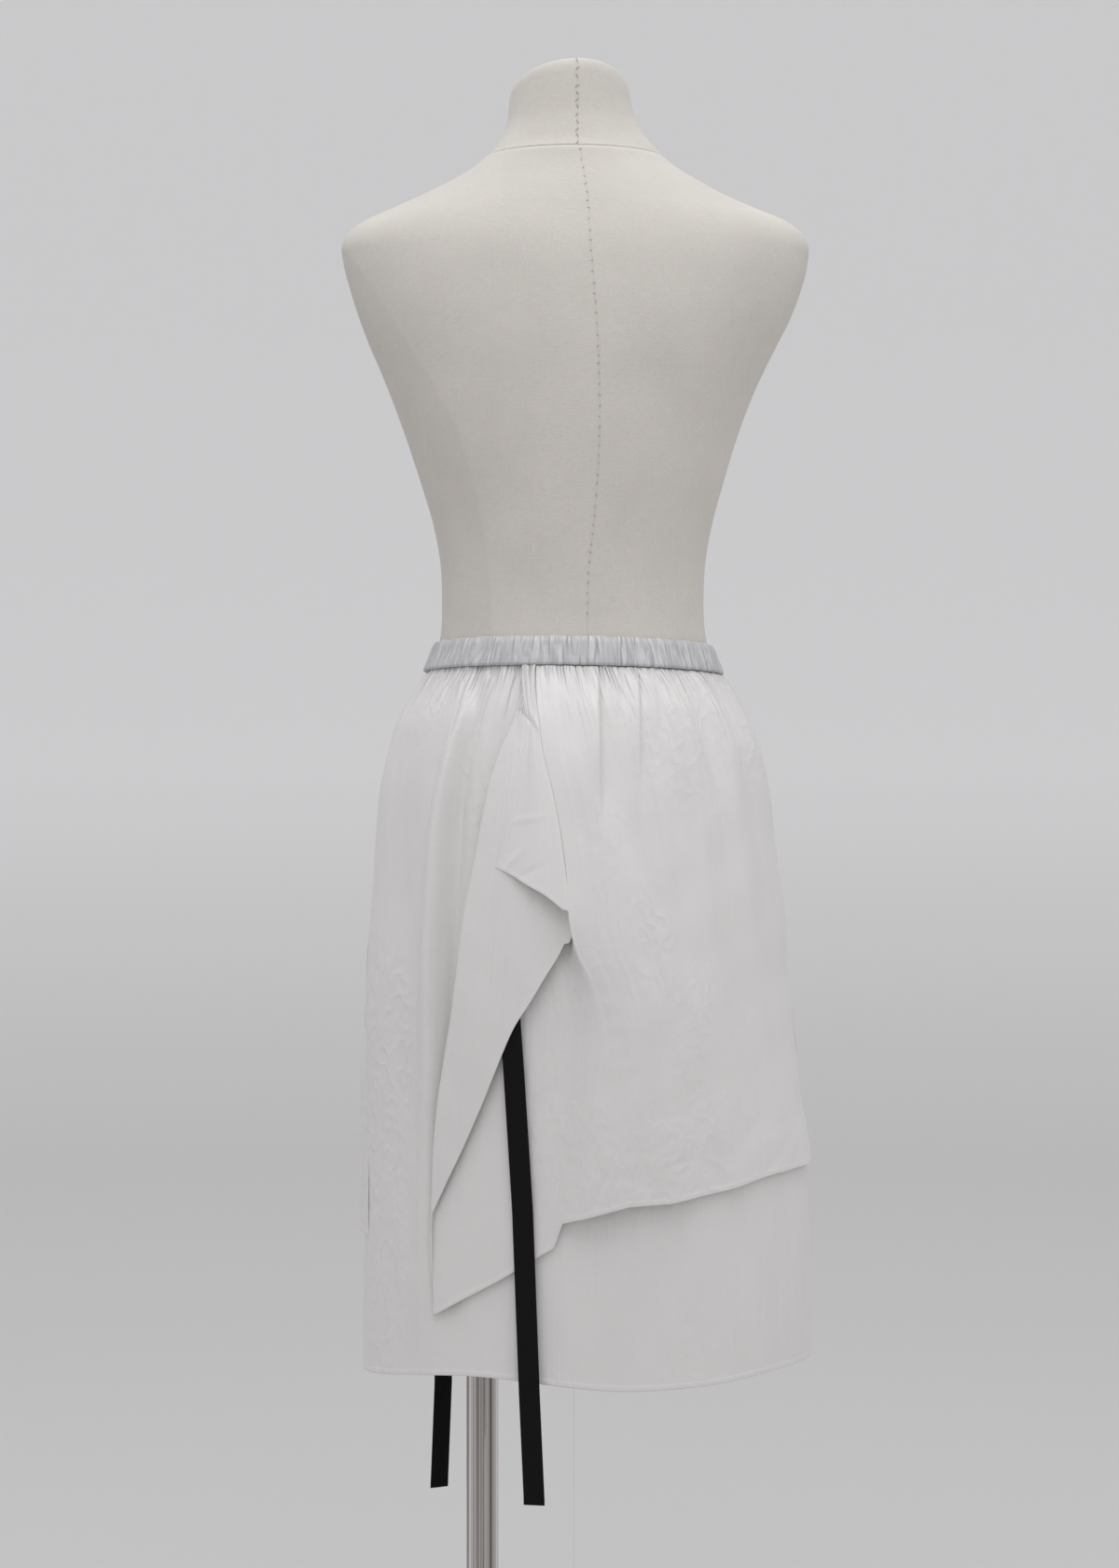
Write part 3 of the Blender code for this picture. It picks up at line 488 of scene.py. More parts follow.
def front_point(angle, drop):
    """The front overskirt: it follows the underskirt's folds and stands off it."""
    top = waist_edge(angle)
    hem = read(FRONT_HEM, "height", np.degrees(angle), by="place")
    height = top + drop * (hem - top)
    share = (angle - FRONT_START) / (FRONT_END - FRONT_START)
    low = step(-height, -WRAP_TOP, -WRAP_LOW)
    wrapped = angle - FREE_END_WRAP * low * (1.0 - share) ** 4
    folds = SHARED_FRONT_FOLDS + LEFT_BACK_FOLDS
    out = read(STANDS, "over", height) + fold_out(folds, wrapped, height)
    out = out + gather_out(FRONT_CREASE_COUNT * share, height, top, FRONT_CREASE_COUNT, 6)
    out = out + free_end_out(angle, height) + waist_tuck(height, top, 0.0022)
    out = out + rumple(angle * 0.16, height, 12, 0.00035)
    return around(SKIRT, wrapped, height, out)


def free_end_out(angle, height):
    """The front overskirt's free end: drawn in above, a little flared near the hem, where its edge
    settles on the underskirt, and none of these away from the end."""
    near = np.exp(-(((angle - FRONT_START) / FREE_END_REACH) ** 2))
    edge = np.exp(-(((angle - FRONT_START) / EDGE_REACH) ** 2))
    low = step(-height, -FREE_END_TOP, -FREE_END_LOW)
    wrapped = step(-height, -WRAP_TOP, -WRAP_LOW)
    close = FREE_END_CLOSE * step(height, FREE_END_LOW, FREE_END_TOP)
    away_from_band = step(-height, -BAND_BOTTOM, -WAIST_FOLD_HEIGHT)
    flare = near * (FREE_END_FLARE * low - close * away_from_band)
    return flare - EDGE_SETTLE * edge * wrapped


def crest_out(x, height):
    """The long ridge: a bell that is steep towards the cascade and soft away from it."""
    away = x - read(CASCADE, "inner", height) - read(CREST, "beside", height)
    steep, soft = read(CREST, "steep", height), read(CREST, "soft", height)
    return read(CREST, "out", height) * np.exp(-((away / np.where(away < 0, steep, soft)) ** 2))


def main_x_and_angle(share, height):
    """The back overskirt's main layer: the share of the way from the side seam to the fold, with the
    ridge's crest always at the same share."""
    fold = back_angle(read(CASCADE, "outer", height) + read(STANDS, "second", height) / 2, height)
    crest = back_angle(read(CASCADE, "inner", height) + read(CREST, "beside", height), height)
    before = SEAM_ANGLE + share / CREST_SHARE * (crest - SEAM_ANGLE)
    after = crest + (share - CREST_SHARE) / (1.0 - CREST_SHARE) * (fold - crest)
    angle = np.where(share < CREST_SHARE, before, after)
    return around(SKIRT, angle, height)[..., 0], angle


def main_hem(share):
    """The height of the main layer's hem, found by stepping from x to height and back."""
    height = 0.50 + 0.0 * share
    for _ in range(6):
        x, _ = main_x_and_angle(share, height)
        height = np.interp(x, column(BACK_HEM, "place"), column(BACK_HEM, "height"))
    return height


def main_point(share, height, top):
    """The main layer at a height: stand-off, gathers, long folds and the ridge."""
    x, angle = main_x_and_angle(share, height)
    free = 1.0 - step(share, 0.82, 0.95)
    flat = squeezed(height, top)
    out = read(STANDS, "over", height) * flat
    out = out + fold_out(RIGHT_BACK_FOLDS, angle, height) * free * flat
    out = out + gather_out(BACK_CREASE_COUNT * share, height, top, BACK_CREASE_COUNT, 7) * free
    out = out + crest_out(x, height) * flat
    relief = pleat_out(BACK_PLEATS, x, height) + crease_out(BACK_CREASES, x, height)
    out = out + (relief + rumple(x, height, 13, 0.00040)) * free * flat
    return angle, out


def squarish(value):
    """A sine or cosine raised to a power, so that a circle of them becomes a rounded square."""
    return np.sign(value) * np.abs(value) ** 0.5


def second_out(height, across):
    """How far the cascade's second layer stands off, a little more in its middle."""
    gap = read(STANDS, "second", height)
    return read(STANDS, "over", height) + gap * (1.0 + SECOND_SWELL * np.sin(math.pi * across))


def back_point(place, drop):
    """The back overskirt, one cloth in five stretches of its place: 0 to 1 the main layer, to 2
    the outer fold, to 3 the second layer, to 4 the inner fold, to 5 the third layer."""
    place = np.asarray(place, float)
    share = np.clip(place, -0.01, 1.0)
    turn_a = math.pi * np.clip(place - 1.0, 0.0, 1.0)
    across = np.clip(place - 2.0, 0.0, 1.0)
    turn_b = math.pi * np.clip(place - 3.0, 0.0, 1.0)
    last = np.clip(place - 4.0, 0.0, 1.02)
    ends = read(SECOND_HEM, "height", across, by="place")
    hem = main_hem(share)
    hem = np.where(place > 1.0, hem + (SECOND_HEM[0].height - hem) * (turn_a / math.pi), hem)
    hem = np.where(place > 2.0, ends, hem)
    corner = SECOND_HEM[-1].height
    rounded = corner + (THIRD_HEM[0].height - corner) * (1.0 - np.cos(turn_b)) / 2
    hem = np.where(place > 3.0, rounded, hem)
    hem = np.where(place > 4.0, read(THIRD_HEM, "height", last, by="place"), hem)
    top = waist_edge(np.clip(share * 1.9, 0.0, 1.9))
    height = top + drop * (hem - top)

    angle, out = main_point(share, height, top)
    flat = squeezed(height, top)
    fold_a = read(STANDS, "second", height) / 2
    fold_b = read(STANDS, "third", height) / 2
    outer = read(CASCADE, "outer", height)
    inner = read(CASCADE, "inner", height)
    end = read(CASCADE, "end", height)
    over = read(STANDS, "over", height)

    x = around(SKIRT, angle, height)[..., 0]
    layered = place > 1.0
    x = np.where(layered, outer + fold_a * (1 - np.sin(turn_a)), x)
    lift = over + fold_a * (1 - np.cos(turn_a))
    stop = inner - fold_b
    x = np.where(place > 2.0, outer + fold_a + across * (stop - outer - fold_a), x)
    lift = np.where(place > 2.0, second_out(height, across), lift)
    x = np.where(place > 3.0, stop + fold_b * squarish(np.sin(turn_b)), x)
    through_fold = fold_b * (1 - squarish(np.cos(turn_b)))
    lift = np.where(place > 3.0, over + 2 * fold_a + through_fold, lift)
    x = np.where(place > 4.0, stop + last * (end - stop), x)
    settle = 2 * THIRD_SETTLE * fold_b * step(last, 0.2, 1.0)
    lift = np.where(place > 4.0, over + 2 * fold_a + 2 * fold_b - settle, lift)
    turns = (x - CASCADE_GATHER_START) / CASCADE_GATHER_PITCH
    relief = gather_out(turns, height, top, CASCADE_CREASE_COUNT, 9)
    relief = relief + crease_out(CASCADE_CREASES, x, height) + rumple(x, height, 14, 0.00040) * flat
    out = np.where(layered, lift * flat + relief, out)
    folded = np.where(layered, back_angle(x, height), angle)
    return around(SKIRT, folded, height, out)


def cloth_y(side, x, height, out):
    """How far to the back or the front the skirt's cloth reaches at x with this stand-off."""
    half = np.where(x > 0, read(SKIRT, "right", height), read(SKIRT, "left", height)) + out
    deep = read(SKIRT, side, height) + out
    return deep * np.sqrt(np.clip(1.0 - (x / half) ** 2, 0.0, 1.0))


def back_tie_x(height):
    """The middle of the back tie, which leans to the right on its way down."""
    heights = [0.278, 0.366, 0.52, 0.64, 0.70]
    return np.interp(height, heights, [-0.0335, -0.0375, -0.0432, -0.0508, -0.0552])


def back_tie_reach(x, height):
    """Where the back tie may hang: inside the second layer by its sewn end, then off the main one."""
    over = read(STANDS, "over", height)
    inside = second_out(height, TIE_SHARE) - CLOTH / 2 - TAPE - TIE_CLEAR
    sewn = height > BACK_TIE_END + TIE_LENGTH - TIE_SEWN
    out = np.where(sewn, inside, over + CLOTH)
    return cloth_y("back", x, np.maximum(height, UNDER_LOWEST), out)


def front_tie_x(height):
    """The middle of the front tie."""
    return np.interp(height, [0.2247, 0.33, 0.64], [-0.1225, -0.1184, -0.1170])


def front_tie_reach(x, height):
    """Where the front tie may hang: on the front overskirt at x, on the wearer's front."""
    angle = 2 * math.pi - back_angle(x, height)
    low = np.maximum(height, UNDER_LOWEST)
    out = read(STANDS, "over", low) + fold_out(SHARED_FRONT_FOLDS, angle, low)
    return cloth_y("front", x, low, out)


# Looks: what the solids leave out

# Thickness of the cloth and of its hems, the width of a stitched hem and of its rounded edge, and
# the distance that stands for no hem
THIN = 0.0008
HEM_THICK = 0.0013
HEM_WIDTH = 0.0048
EDGE_ROUND = 0.0007
NO_HEM = 1.0
RUMPLE_WAVES = 14

# The satin's relief in metres, how deep its small wrinkles and long upright streaks are, as shares
# of that, how much painted shade darkens its puckers, and half the width of the stitched line on its hems
SATIN_RELIEF = 0.0005
WRINKLE_DEPTH = 0.9
STREAK_DEPTH = 2.4
PUCKER_PAINTED_SHADE = 0.30
HEM_LINE = 0.0009

# Sharp falls between the long folds: x at the top and the bottom end, the heights of the ends, how
# far the cloth rises to the line, how sharp it falls and how far off the rise starts
PLEAT = "x_top x_low top low depth sharp reach"
BACK_PLEATS = table(PLEAT, [
    (0.02, 0.0215, 0.973, 0.86, 0.0066, 0.0007, 0.024),
    (0.0525, 0.054, 0.972, 0.865, 0.0042, 0.0009, 0.016),
    (0.079, 0.112, 0.97, 0.888, 0.0028, 0.001, 0.012),
    (0.104, 0.13, 0.968, 0.9, 0.0024, 0.001, 0.012),
    (0.036, 0.0375, 0.972, 0.925, 0.0013, 0.001, 0.008),
    (0.066, 0.069, 0.972, 0.925, 0.0012, 0.001, 0.008),
    (-0.001, 0.001, 0.97, 0.925, 0.001, 0.001, 0.008),
])

UNDER_PLEATS = table(PLEAT, [
    (-0.094, -0.108, 0.962, 0.9, 0.0018, 0.0009, 0.01),
    (-0.072, -0.088, 0.966, 0.915, 0.0022, 0.0009, 0.009),
    (-0.05, -0.06, 0.968, 0.93, 0.0018, 0.0008, 0.007),
    (-0.108, -0.127, 0.958, 0.915, 0.0014, 0.0009, 0.008),
])

# Small creases, in a picture of the back: x, height, slant in degrees from upright, half of the
# length and of the width, and how far they stand out
CREASE = "x height slant length width out"
BACK_CREASES = table(CREASE, [
    (0.012, 0.7, 82, 0.018, 0.0022, -0.0007),
    (0.022, 0.69, 70, 0.014, 0.002, 0.0006),
    (0.03, 0.665, 96, 0.02, 0.0025, -0.0007),
    (0.018, 0.655, 60, 0.012, 0.002, -0.0006),
    (0.042, 0.64, 75, 0.016, 0.0022, 0.0006),
    (0.15, 0.585, 40, 0.016, 0.0022, -0.0008),
    (0.162, 0.572, 55, 0.018, 0.0022, 0.0007),
    (0.171, 0.56, 35, 0.014, 0.002, -0.0008),
    (0.185, 0.566, 20, 0.014, 0.0024, 0.0006),
    (0.176, 0.585, 68, 0.012, 0.002, -0.0006),
    (0.07, 0.585, 80, 0.022, 0.004, 0.0007),
    (0.05, 0.545, 100, 0.026, 0.0045, -0.0008),
    (0.095, 0.56, 76, 0.02, 0.004, -0.0007),
    (0.02, 0.535, 20, 0.016, 0.003, -0.0007),
])


CASCADE_CREASES = table(CREASE, [
    (0.004, 0.958, -18, 0.012, 0.0016, -0.001),
    (-0.04, 0.934, -40, 0.01, 0.0014, -0.0012),
    (-0.03, 0.927, -25, 0.012, 0.0018, 0.0009),
    (-0.02, 0.948, 14, 0.012, 0.0016, -0.001),
    (-0.013, 0.921, 88, 0.014, 0.001, -0.0004),
    (-0.036, 0.847, 80, 0.012, 0.0022, 0.0006),
    (-0.048, 0.812, 40, 0.014, 0.0026, 0.0008),
    (-0.034, 0.802, 60, 0.014, 0.0024, -0.0006),
])


def drop_rows(top_rows, middle_rows, length):
    """Places from the waist, 0, to the hem, 1: close together under the band, wider apart below,
    and close again on the stitched hem."""
    near_hem = np.array([0.0095, 0.0070, 0.0056, 0.0050, 0.0046, 0.0040, 0.0024, 0.0010, 0.0004, 0.0])
    upper = 0.28 * np.linspace(0.0, 1.0, top_rows) ** 1.3
    lower = np.linspace(0.28, 1.0 - near_hem[0] / length, middle_rows + 1)[1:]
    return np.concatenate([upper, lower, 1.0 - near_hem[1:] / length])


def lengths(points, axis):
    """Running length along the rows or the columns of a grid of points."""
    steps = np.linalg.norm(np.diff(points, axis=axis), axis=-1)
    start = np.zeros_like(np.take(steps, [0], axis=axis))
    return np.concatenate([start, np.cumsum(steps, axis=axis)], axis=axis)


def grid_normals(points):
    """Unit normals of a grid: the cross product of its central differences."""
    normal = np.cross(np.gradient(points, axis=1), np.gradient(points, axis=0))
    return normal / np.maximum(np.linalg.norm(normal, axis=-1, keepdims=True), 1e-12)


def quads(first, rows, columns, ring=False, flip=False):
    """The four-sided faces of a grid whose points are numbered row by row."""
    across = columns if ring else columns - 1
    r, c = np.meshgrid(np.arange(rows - 1), np.arange(across), indexing="ij")
    beside = (c + 1) % columns
    corners = [r * columns + c, r * columns + beside, (r + 1) * columns + beside, (r + 1) * columns + c]
    faces = np.stack(corners, axis=-1).reshape(-1, 4) + first
    return faces[:, ::-1] if flip else faces


def volume(points, faces, caps):
    """The volume inside a closed mesh: a sixth of the sum, over its triangles, of each corner dotted
    with the cross product of the other two. It is negative where the faces point inwards."""
    three = [faces[:, (0, 1, 2)], faces[:, (0, 2, 3)]]
    three += [np.stack([cap[0] + 0 * cap[1:-1], cap[1:-1], cap[2:]], axis=-1) for cap in caps]
    a, b, c = np.moveaxis(points[np.concatenate(three)], 1, 0)
    return np.einsum("ij,ij->", a, np.cross(b, c)) / 6


def make_piece(name, points, faces, material, uv=None, marks=None, caps=(), closed=True):
    """An object at the origin from whole arrays of points and four-sided faces. uv is a place in
    metres for each point and marks are named numbers for each point. A closed one faces outwards."""
    if closed and volume(points, faces, caps) < 0:
        faces = faces[:, ::-1]
        caps = [cap[::-1] for cap in caps]
    sides = [4] * len(faces) + [len(cap) for cap in caps]
    corner_of = np.concatenate([np.asarray(faces).ravel()] + [np.asarray(cap) for cap in caps])
    mesh = bpy.data.meshes.new(name)
    mesh.vertices.add(len(points))
    mesh.vertices.foreach_set("co", np.ascontiguousarray(points, dtype=np.float32).ravel())
    mesh.loops.add(len(corner_of))
    mesh.loops.foreach_set("vertex_index", corner_of.astype(np.int32))
    mesh.polygons.add(len(sides))
    starts = np.concatenate([[0], np.cumsum(sides)[:-1]])
    mesh.polygons.foreach_set("loop_start", starts.astype(np.int32))
    mesh.update(calc_edges=True)
    mesh.validate()
    if uv is not None:
        layer = mesh.uv_layers.new(name="weave")
        layer.data.foreach_set("uv", np.asarray(uv, np.float32)[corner_of].ravel())
    for mark, values in (marks or {}).items():
        layer = mesh.attributes.new(mark, "FLOAT", "POINT")
        layer.data.foreach_set("value", np.asarray(values, np.float32).ravel())
    mesh.shade_smooth()
    mesh.materials.append(material)
    made = bpy.data.objects.new(name, mesh)
    bpy.context.collection.objects.link(made)
    return made


def capped_tube(name, points, material, marks=None, down=1):
    """A closed piece from rows of points that go round it, with a flat end on the first row and the
    last. Its own place runs on from row to row, or back where down is -1."""
    rows, count = points.shape[:2]
    uv = np.stack([lengths(points, 1), down * lengths(points, 0)], axis=-1).reshape(-1, 2)
    ends = [np.arange(count)[::-1], np.arange(count) + (rows - 1) * count]
    faces = quads(0, rows, count, ring=True)
    return make_piece(name, points.reshape(-1, 3), faces, material, uv, marks, ends)


def shell(name, points, material, edge):
    """A closed thin cloth round a grid of middle points. It is half of its thickness to each side,
    and thicker on its hems; edge is how far each point is from the nearest hem, in metres."""
    rows, columns = points.shape[:2]
    normal = grid_normals(points)
    hemmed = 1.0 - step(edge, 0.9 * HEM_WIDTH, 1.15 * HEM_WIDTH)
    rounded = np.sqrt(np.clip(1.0 - (1.0 - np.clip(edge / EDGE_ROUND, 0.0, 1.0)) ** 2, 0.05, 1.0))
    half = (THIN + (HEM_THICK - THIN) * hemmed) / 2 * rounded
    outer = points + normal * half[..., None]
    inner = points - normal * half[..., None]
    count = rows * columns
    faces = [quads(0, rows, columns, flip=True), quads(count, rows, columns)]
    index = np.arange(count).reshape(rows, columns)
    for border in (index[0], index[-1][::-1], index[::-1, 0], index[:, -1]):
        here, ahead = border[:-1], border[1:]
        faces.append(np.stack([here, ahead, ahead + count, here + count], axis=-1))
    across = np.broadcast_to(lengths(points, 1).mean(axis=0), (rows, columns))
    uv = np.stack([across, -lengths(points, 0)], axis=-1).reshape(-1, 2)
    return make_piece(
        name,
        np.concatenate([outer.reshape(-1, 3), inner.reshape(-1, 3)]),
        np.concatenate(faces),
        material,
        np.concatenate([uv, uv]),
        {"edge": np.tile(edge.ravel(), 2), "waist": np.tile(lengths(points, 0).ravel(), 2)},
    )


def crease_out(creases, x, height):
    """Small creases: each is a long bell turned by its slant."""
    total = 0.0 * x
    for c in creases:
        slant = math.radians(c.slant)
        along = (height - c.height) * math.cos(slant) + (x - c.x) * math.sin(slant)
        across = (x - c.x) * math.cos(slant) - (height - c.height) * math.sin(slant)
        total = total + c.out * np.exp(-((along / c.length) ** 2) - (across / c.width) ** 2)
    return total


def rumple(x, height, seed, size):
    """Slight unevenness of hanging satin: the sum of some long waves that run mostly upright."""
    chance = np.random.default_rng(seed)
    total = 0.0 * x
    for _ in range(RUMPLE_WAVES):
        wave = chance.uniform(0.016, 0.060)
        lean = chance.normal(0.0, 0.35)
        phase = chance.uniform(0.0, 2 * math.pi)
        turns = (x * math.cos(lean) + height * math.sin(lean)) / wave
        total = total + size * wave / 0.040 * np.sin(2 * math.pi * turns + phase) / math.sqrt(RUMPLE_WAVES)
    return total


def add_node(tree, kind, values=None, **settings):
    """A shader node, with its settings and its sockets' values or links."""
    made = tree.nodes.new("ShaderNode" + kind)
    for name, value in settings.items():
        setattr(made, name, value)
    for socket, value in (values or {}).items():
        if isinstance(value, bpy.types.NodeSocket):
            tree.links.new(value, made.inputs[socket])
        else:
            made.inputs[socket].default_value = value
    return made


def math_node(tree, operation, first, second=0.0):
    """One operation on numbers or sockets."""
    return add_node(tree, "Math", {0: first, 1: second}, operation=operation).outputs[0]


def times(tree, first, second):
    """A product of numbers or sockets."""
    return math_node(tree, "MULTIPLY", first, second)


def plus(tree, first, second):
    """A sum of numbers or sockets."""
    return math_node(tree, "ADD", first, second)


def minus(tree, first, second):
    """A difference of numbers or sockets."""
    return math_node(tree, "SUBTRACT", first, second)


def spread(tree, value, low, high, first, last):
    """A value's range from low to high mapped to the range from first to last, and clamped."""
    return add_node(tree, "MapRange", {0: value, 1: low, 2: high, 3: first, 4: last}).outputs[0]


def attribute(tree, name):
    """A piece's own number at each point."""
    return add_node(tree, "Attribute", attribute_name=name).outputs["Fac"]


def places(tree):
    """The place on the cloth, in metres along its threads, and the place in the object."""
    weave = add_node(tree, "UVMap", uv_map="weave").outputs["UV"]
    return weave, add_node(tree, "TexCoord").outputs["Object"]


def scaled(colour, share):
    """A colour made darker or lighter."""
    return tuple(share * c for c in colour)


def start_material(name, colour, roughness, metallic=0.0):
    """A Principled material and its shader."""
    material = bpy.data.materials.new(name)
    material.use_nodes = True
    shader = material.node_tree.nodes["Principled BSDF"]
    shader.inputs["Base Color"].default_value = (*colour, 1.0)
    shader.inputs["Roughness"].default_value = roughness
    shader.inputs["Metallic"].default_value = metallic
    material.diffuse_color = (*colour, 1.0)
    return material, material.node_tree, shader


def stretched_noise(tree, place, scale, detail=3.0):
    """Noise on a place that is stretched by a scale for each direction."""
    mapped = add_node(tree, "Mapping", {"Vector": place, "Scale": scale}).outputs["Vector"]
    return add_node(tree, "TexNoise", {"Vector": mapped, "Scale": 1.0, "Detail": detail}).outputs["Fac"]


def near_line(tree, distance, width):
    """1 on a line, falling smoothly to 0 at a width to each side of it."""
    away = math_node(tree, "ABSOLUTE", distance)
    ends = {0: away, 1: 0.0, 2: width, 3: 1.0, 4: 0.0}
    return add_node(tree, "MapRange", ends, interpolation_type="SMOOTHSTEP").outputs[0]


def blend_colours(tree, share, dark, light):
    """A colour between two colours or sockets, by a share."""
    ends = [end if isinstance(end, bpy.types.NodeSocket) else (*end, 1.0) for end in (dark, light)]
    return add_node(tree, "Mix", {0: share, 6: ends[0], 7: ends[1]}, data_type="RGBA").outputs[2]


def bumped(tree, shader, height, distance):
    """Surface relief from a height of 0 to 1 times a distance in metres."""
    bump = add_node(tree, "Bump", {"Height": height, "Distance": distance, "Strength": 1.0})
    tree.links.new(bump.outputs["Normal"], shader.inputs["Normal"])


def ridged(tree, noise):
    """Sharp creases out of noise: 1 on the lines where it is a half, less away from them."""
    away = math_node(tree, "ABSOLUTE", minus(tree, noise, 0.5))
    return spread(tree, away, 0.0, 0.16, 1.0, 0.0)


def satin_cloth(name, colour, roughness, pucker_scale, pucker_reach, pucker_depth):
    """Off-white satin: crosswise slubs, fine upright threads, cloudy shade, a stitched hem, and fine
    sharp puckers that die away below the waist, with painted shade darkening their creases."""
    material, tree, shader = start_material(name, colour, roughness)
    weave, place = places(tree)
    slubs = stretched_noise(tree, weave, (45.0, 1100.0, 1.0))
    threads = stretched_noise(tree, weave, (1500.0, 70.0, 1.0))
    cloudy = stretched_noise(tree, place, (14.0, 14.0, 7.0))
    shade = plus(tree, times(tree, slubs, 0.5), times(tree, cloudy, 0.5))
    plain = blend_colours(tree, shade, scaled(colour, 0.94), scaled(colour, 1.05))
    near = math_node(tree, "DIVIDE", attribute(tree, "waist"), -pucker_reach)
    near = math_node(tree, "POWER", math.e, near)
    puckers = times(tree, ridged(tree, stretched_noise(tree, weave, pucker_scale, 1.0)), near)
    # Painted shade: the pucker creases are darkened towards 0.45 of the satin's colour
    folded = blend_colours(tree, times(tree, puckers, PUCKER_PAINTED_SHADE), plain, scaled(colour, 0.45))
    tree.links.new(folded, shader.inputs["Base Color"])
    line = near_line(tree, minus(tree, attribute(tree, "edge"), HEM_WIDTH), HEM_LINE)
    relief = plus(tree, times(tree, slubs, 0.12), times(tree, threads, 0.08))
    relief = minus(tree, relief, times(tree, line, 0.20))
    patches = spread(tree, stretched_noise(tree, place, (9.0, 9.0, 6.0), 1.0), 0.48, 0.68, 0.0, 1.0)
    wrinkles = ridged(tree, stretched_noise(tree, place, (70.0, 70.0, 48.0), 1.0))
    relief = plus(tree, relief, times(tree, times(tree, wrinkles, patches), WRINKLE_DEPTH))
    streaks = stretched_noise(tree, weave, (95.0, 2.2, 1.0), 2.0)
    relief = plus(tree, relief, times(tree, streaks, STREAK_DEPTH))
    relief = minus(tree, relief, times(tree, puckers, pucker_depth))
    bumped(tree, shader, relief, SATIN_RELIEF)
    rough = spread(tree, slubs, 0.3, 0.7, roughness - 0.05, roughness + 0.07)
    tree.links.new(rough, shader.inputs["Roughness"])
    shader.inputs["Sheen Weight"].default_value = 0.06
    shader.inputs["Sheen Roughness"].default_value = 0.45
    return material


# The form's linen: its relief in metres, how much painted shade darkens its side panels on the left and
# the right, and the width and depth of the groove of each kind of seam
LINEN_RELIEF = 0.0006
PANEL_PAINTED_SHADES = (0.11, 0.03)
PANEL_PAINTED_SHADE_COLOUR = (0.40, 0.37, 0.35)
SEAM_COLOUR = (0.20, 0.19, 0.18)
SEAM_LINES = [("centre_seam", 0.0016, 1.0), ("panel_seam", 0.0016, 0.3), ("side_seam", 0.0012, 0.6)]


def linen_cover(name, colour):
    """The form's linen: threads slubbed both ways, seam grooves, and painted shade on its side panels."""
    material, tree, shader = start_material(name, colour, 0.92)
    weave, place = places(tree)
    upright = stretched_noise(tree, weave, (1500.0, 110.0, 1.0))
    level = stretched_noise(tree, weave, (110.0, 1500.0, 1.0))
    cloudy = stretched_noise(tree, place, (16.0, 16.0, 16.0))
    both = times(tree, plus(tree, upright, level), 0.35)
    shade = plus(tree, both, times(tree, cloudy, 0.3))
    mixed = blend_colours(tree, shade, scaled(colour, 0.71), scaled(colour, 1.26))
    # Painted shade: outside the panel seams the linen is darkened, strongly on the left, faintly on the
    # right
    outside = spread(tree, attribute(tree, "panel_seam"), -0.0010, 0.0002, 1.0, 0.0)
    across = add_node(tree, "SeparateXYZ", {0: place}).outputs["X"]
    strength = spread(tree, across, -0.02, 0.02, *PANEL_PAINTED_SHADES)
    mixed = blend_colours(tree, times(tree, outside, strength), mixed, PANEL_PAINTED_SHADE_COLOUR)
    lines = None
    for mark, width, depth in SEAM_LINES:
        line = times(tree, near_line(tree, attribute(tree, mark), width), depth)
        lines = line if lines is None else math_node(tree, "MAXIMUM", lines, line)
    darker = blend_colours(tree, times(tree, lines, 0.07), mixed, SEAM_COLOUR)
    tree.links.new(darker, shader.inputs["Base Color"])
    bumped(tree, shader, minus(tree, both, times(tree, lines, 0.35)), LINEN_RELIEF)
    shader.inputs["Sheen Weight"].default_value = 0.15
    return material


def woven_tape(name, colour):
    """Black tape: fine crosswise ribs and a dull nap."""
    material, tree, shader = start_material(name, colour, 0.75)
    ribs = stretched_noise(tree, places(tree)[0], (250.0, 2600.0, 1.0))
    ribbed = blend_colours(tree, ribs, scaled(colour, 0.7), scaled(colour, 1.5))
    tree.links.new(ribbed, shader.inputs["Base Color"])
    bumped(tree, shader, ribs, 0.0002)
    shader.inputs["Specular IOR Level"].default_value = 0.12
    return material


def polished_metal(name, dark, light, roughness, lines_across):
    """Polished steel with painted reflections: uneven bright and dull lines along the bar, in its colour.
    """
    material, tree, shader = start_material(name, light, roughness, 1.0)
    weave, _ = places(tree)
    lines = stretched_noise(tree, weave, (lines_across, 0.35, 1.0), 2.0)
    broad = stretched_noise(tree, weave, (lines_across / 3, 0.20, 1.0), 1.0)
    share = spread(tree, times(tree, plus(tree, lines, broad), 0.5), 0.43, 0.57, 0.0, 1.0)
    tree.links.new(blend_colours(tree, share, dark, light), shader.inputs["Base Color"])
    rough = spread(tree, broad, 0.3, 0.7, roughness - 0.05, roughness + 0.08)
    tree.links.new(rough, shader.inputs["Roughness"])
    return material


SATIN = satin_cloth("off_white_satin", (0.765, 0.748, 0.735), 0.38, (150.0, 14.0, 1.0), 0.022, 4.0)
BAND_SATIN = satin_cloth("waistband_satin", (0.638, 0.630, 0.646), 0.36, (170.0, 26.0, 1.0), 1.0, 2.2)
TAPE_BLACK = woven_tape("black_tape", (0.0060, 0.0057, 0.0062))
LINEN = linen_cover("form_linen", (0.655, 0.620, 0.572))
THREAD = start_material("seam_thread", (0.44, 0.40, 0.36), 0.85)[0]
# Painted reflections: the socket and pole carry strong bright and dark streaks in their colour; the base
# plate's are faint
REFLECTION_PAINTED_STEEL = polished_metal("stand_metal", (0.13, 0.118, 0.108), (0.82, 0.785, 0.76), 0.20, 210.0)
BASE_STEEL = polished_metal("stand_base_metal", (0.38, 0.365, 0.35), (0.44, 0.425, 0.41), 0.26, 9.0)


def dress(piece, slot, *nodes):
    """Ride on the one body and stand for solids, if any are named. Its slot is not used."""
    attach(piece, "root")
    for node in nodes:
        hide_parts(node)
    return piece


def hem_distance(points):
    """How far each point of a grid is from its last row, along its column."""
    run = lengths(points, 0)
    return run[-1:] - run


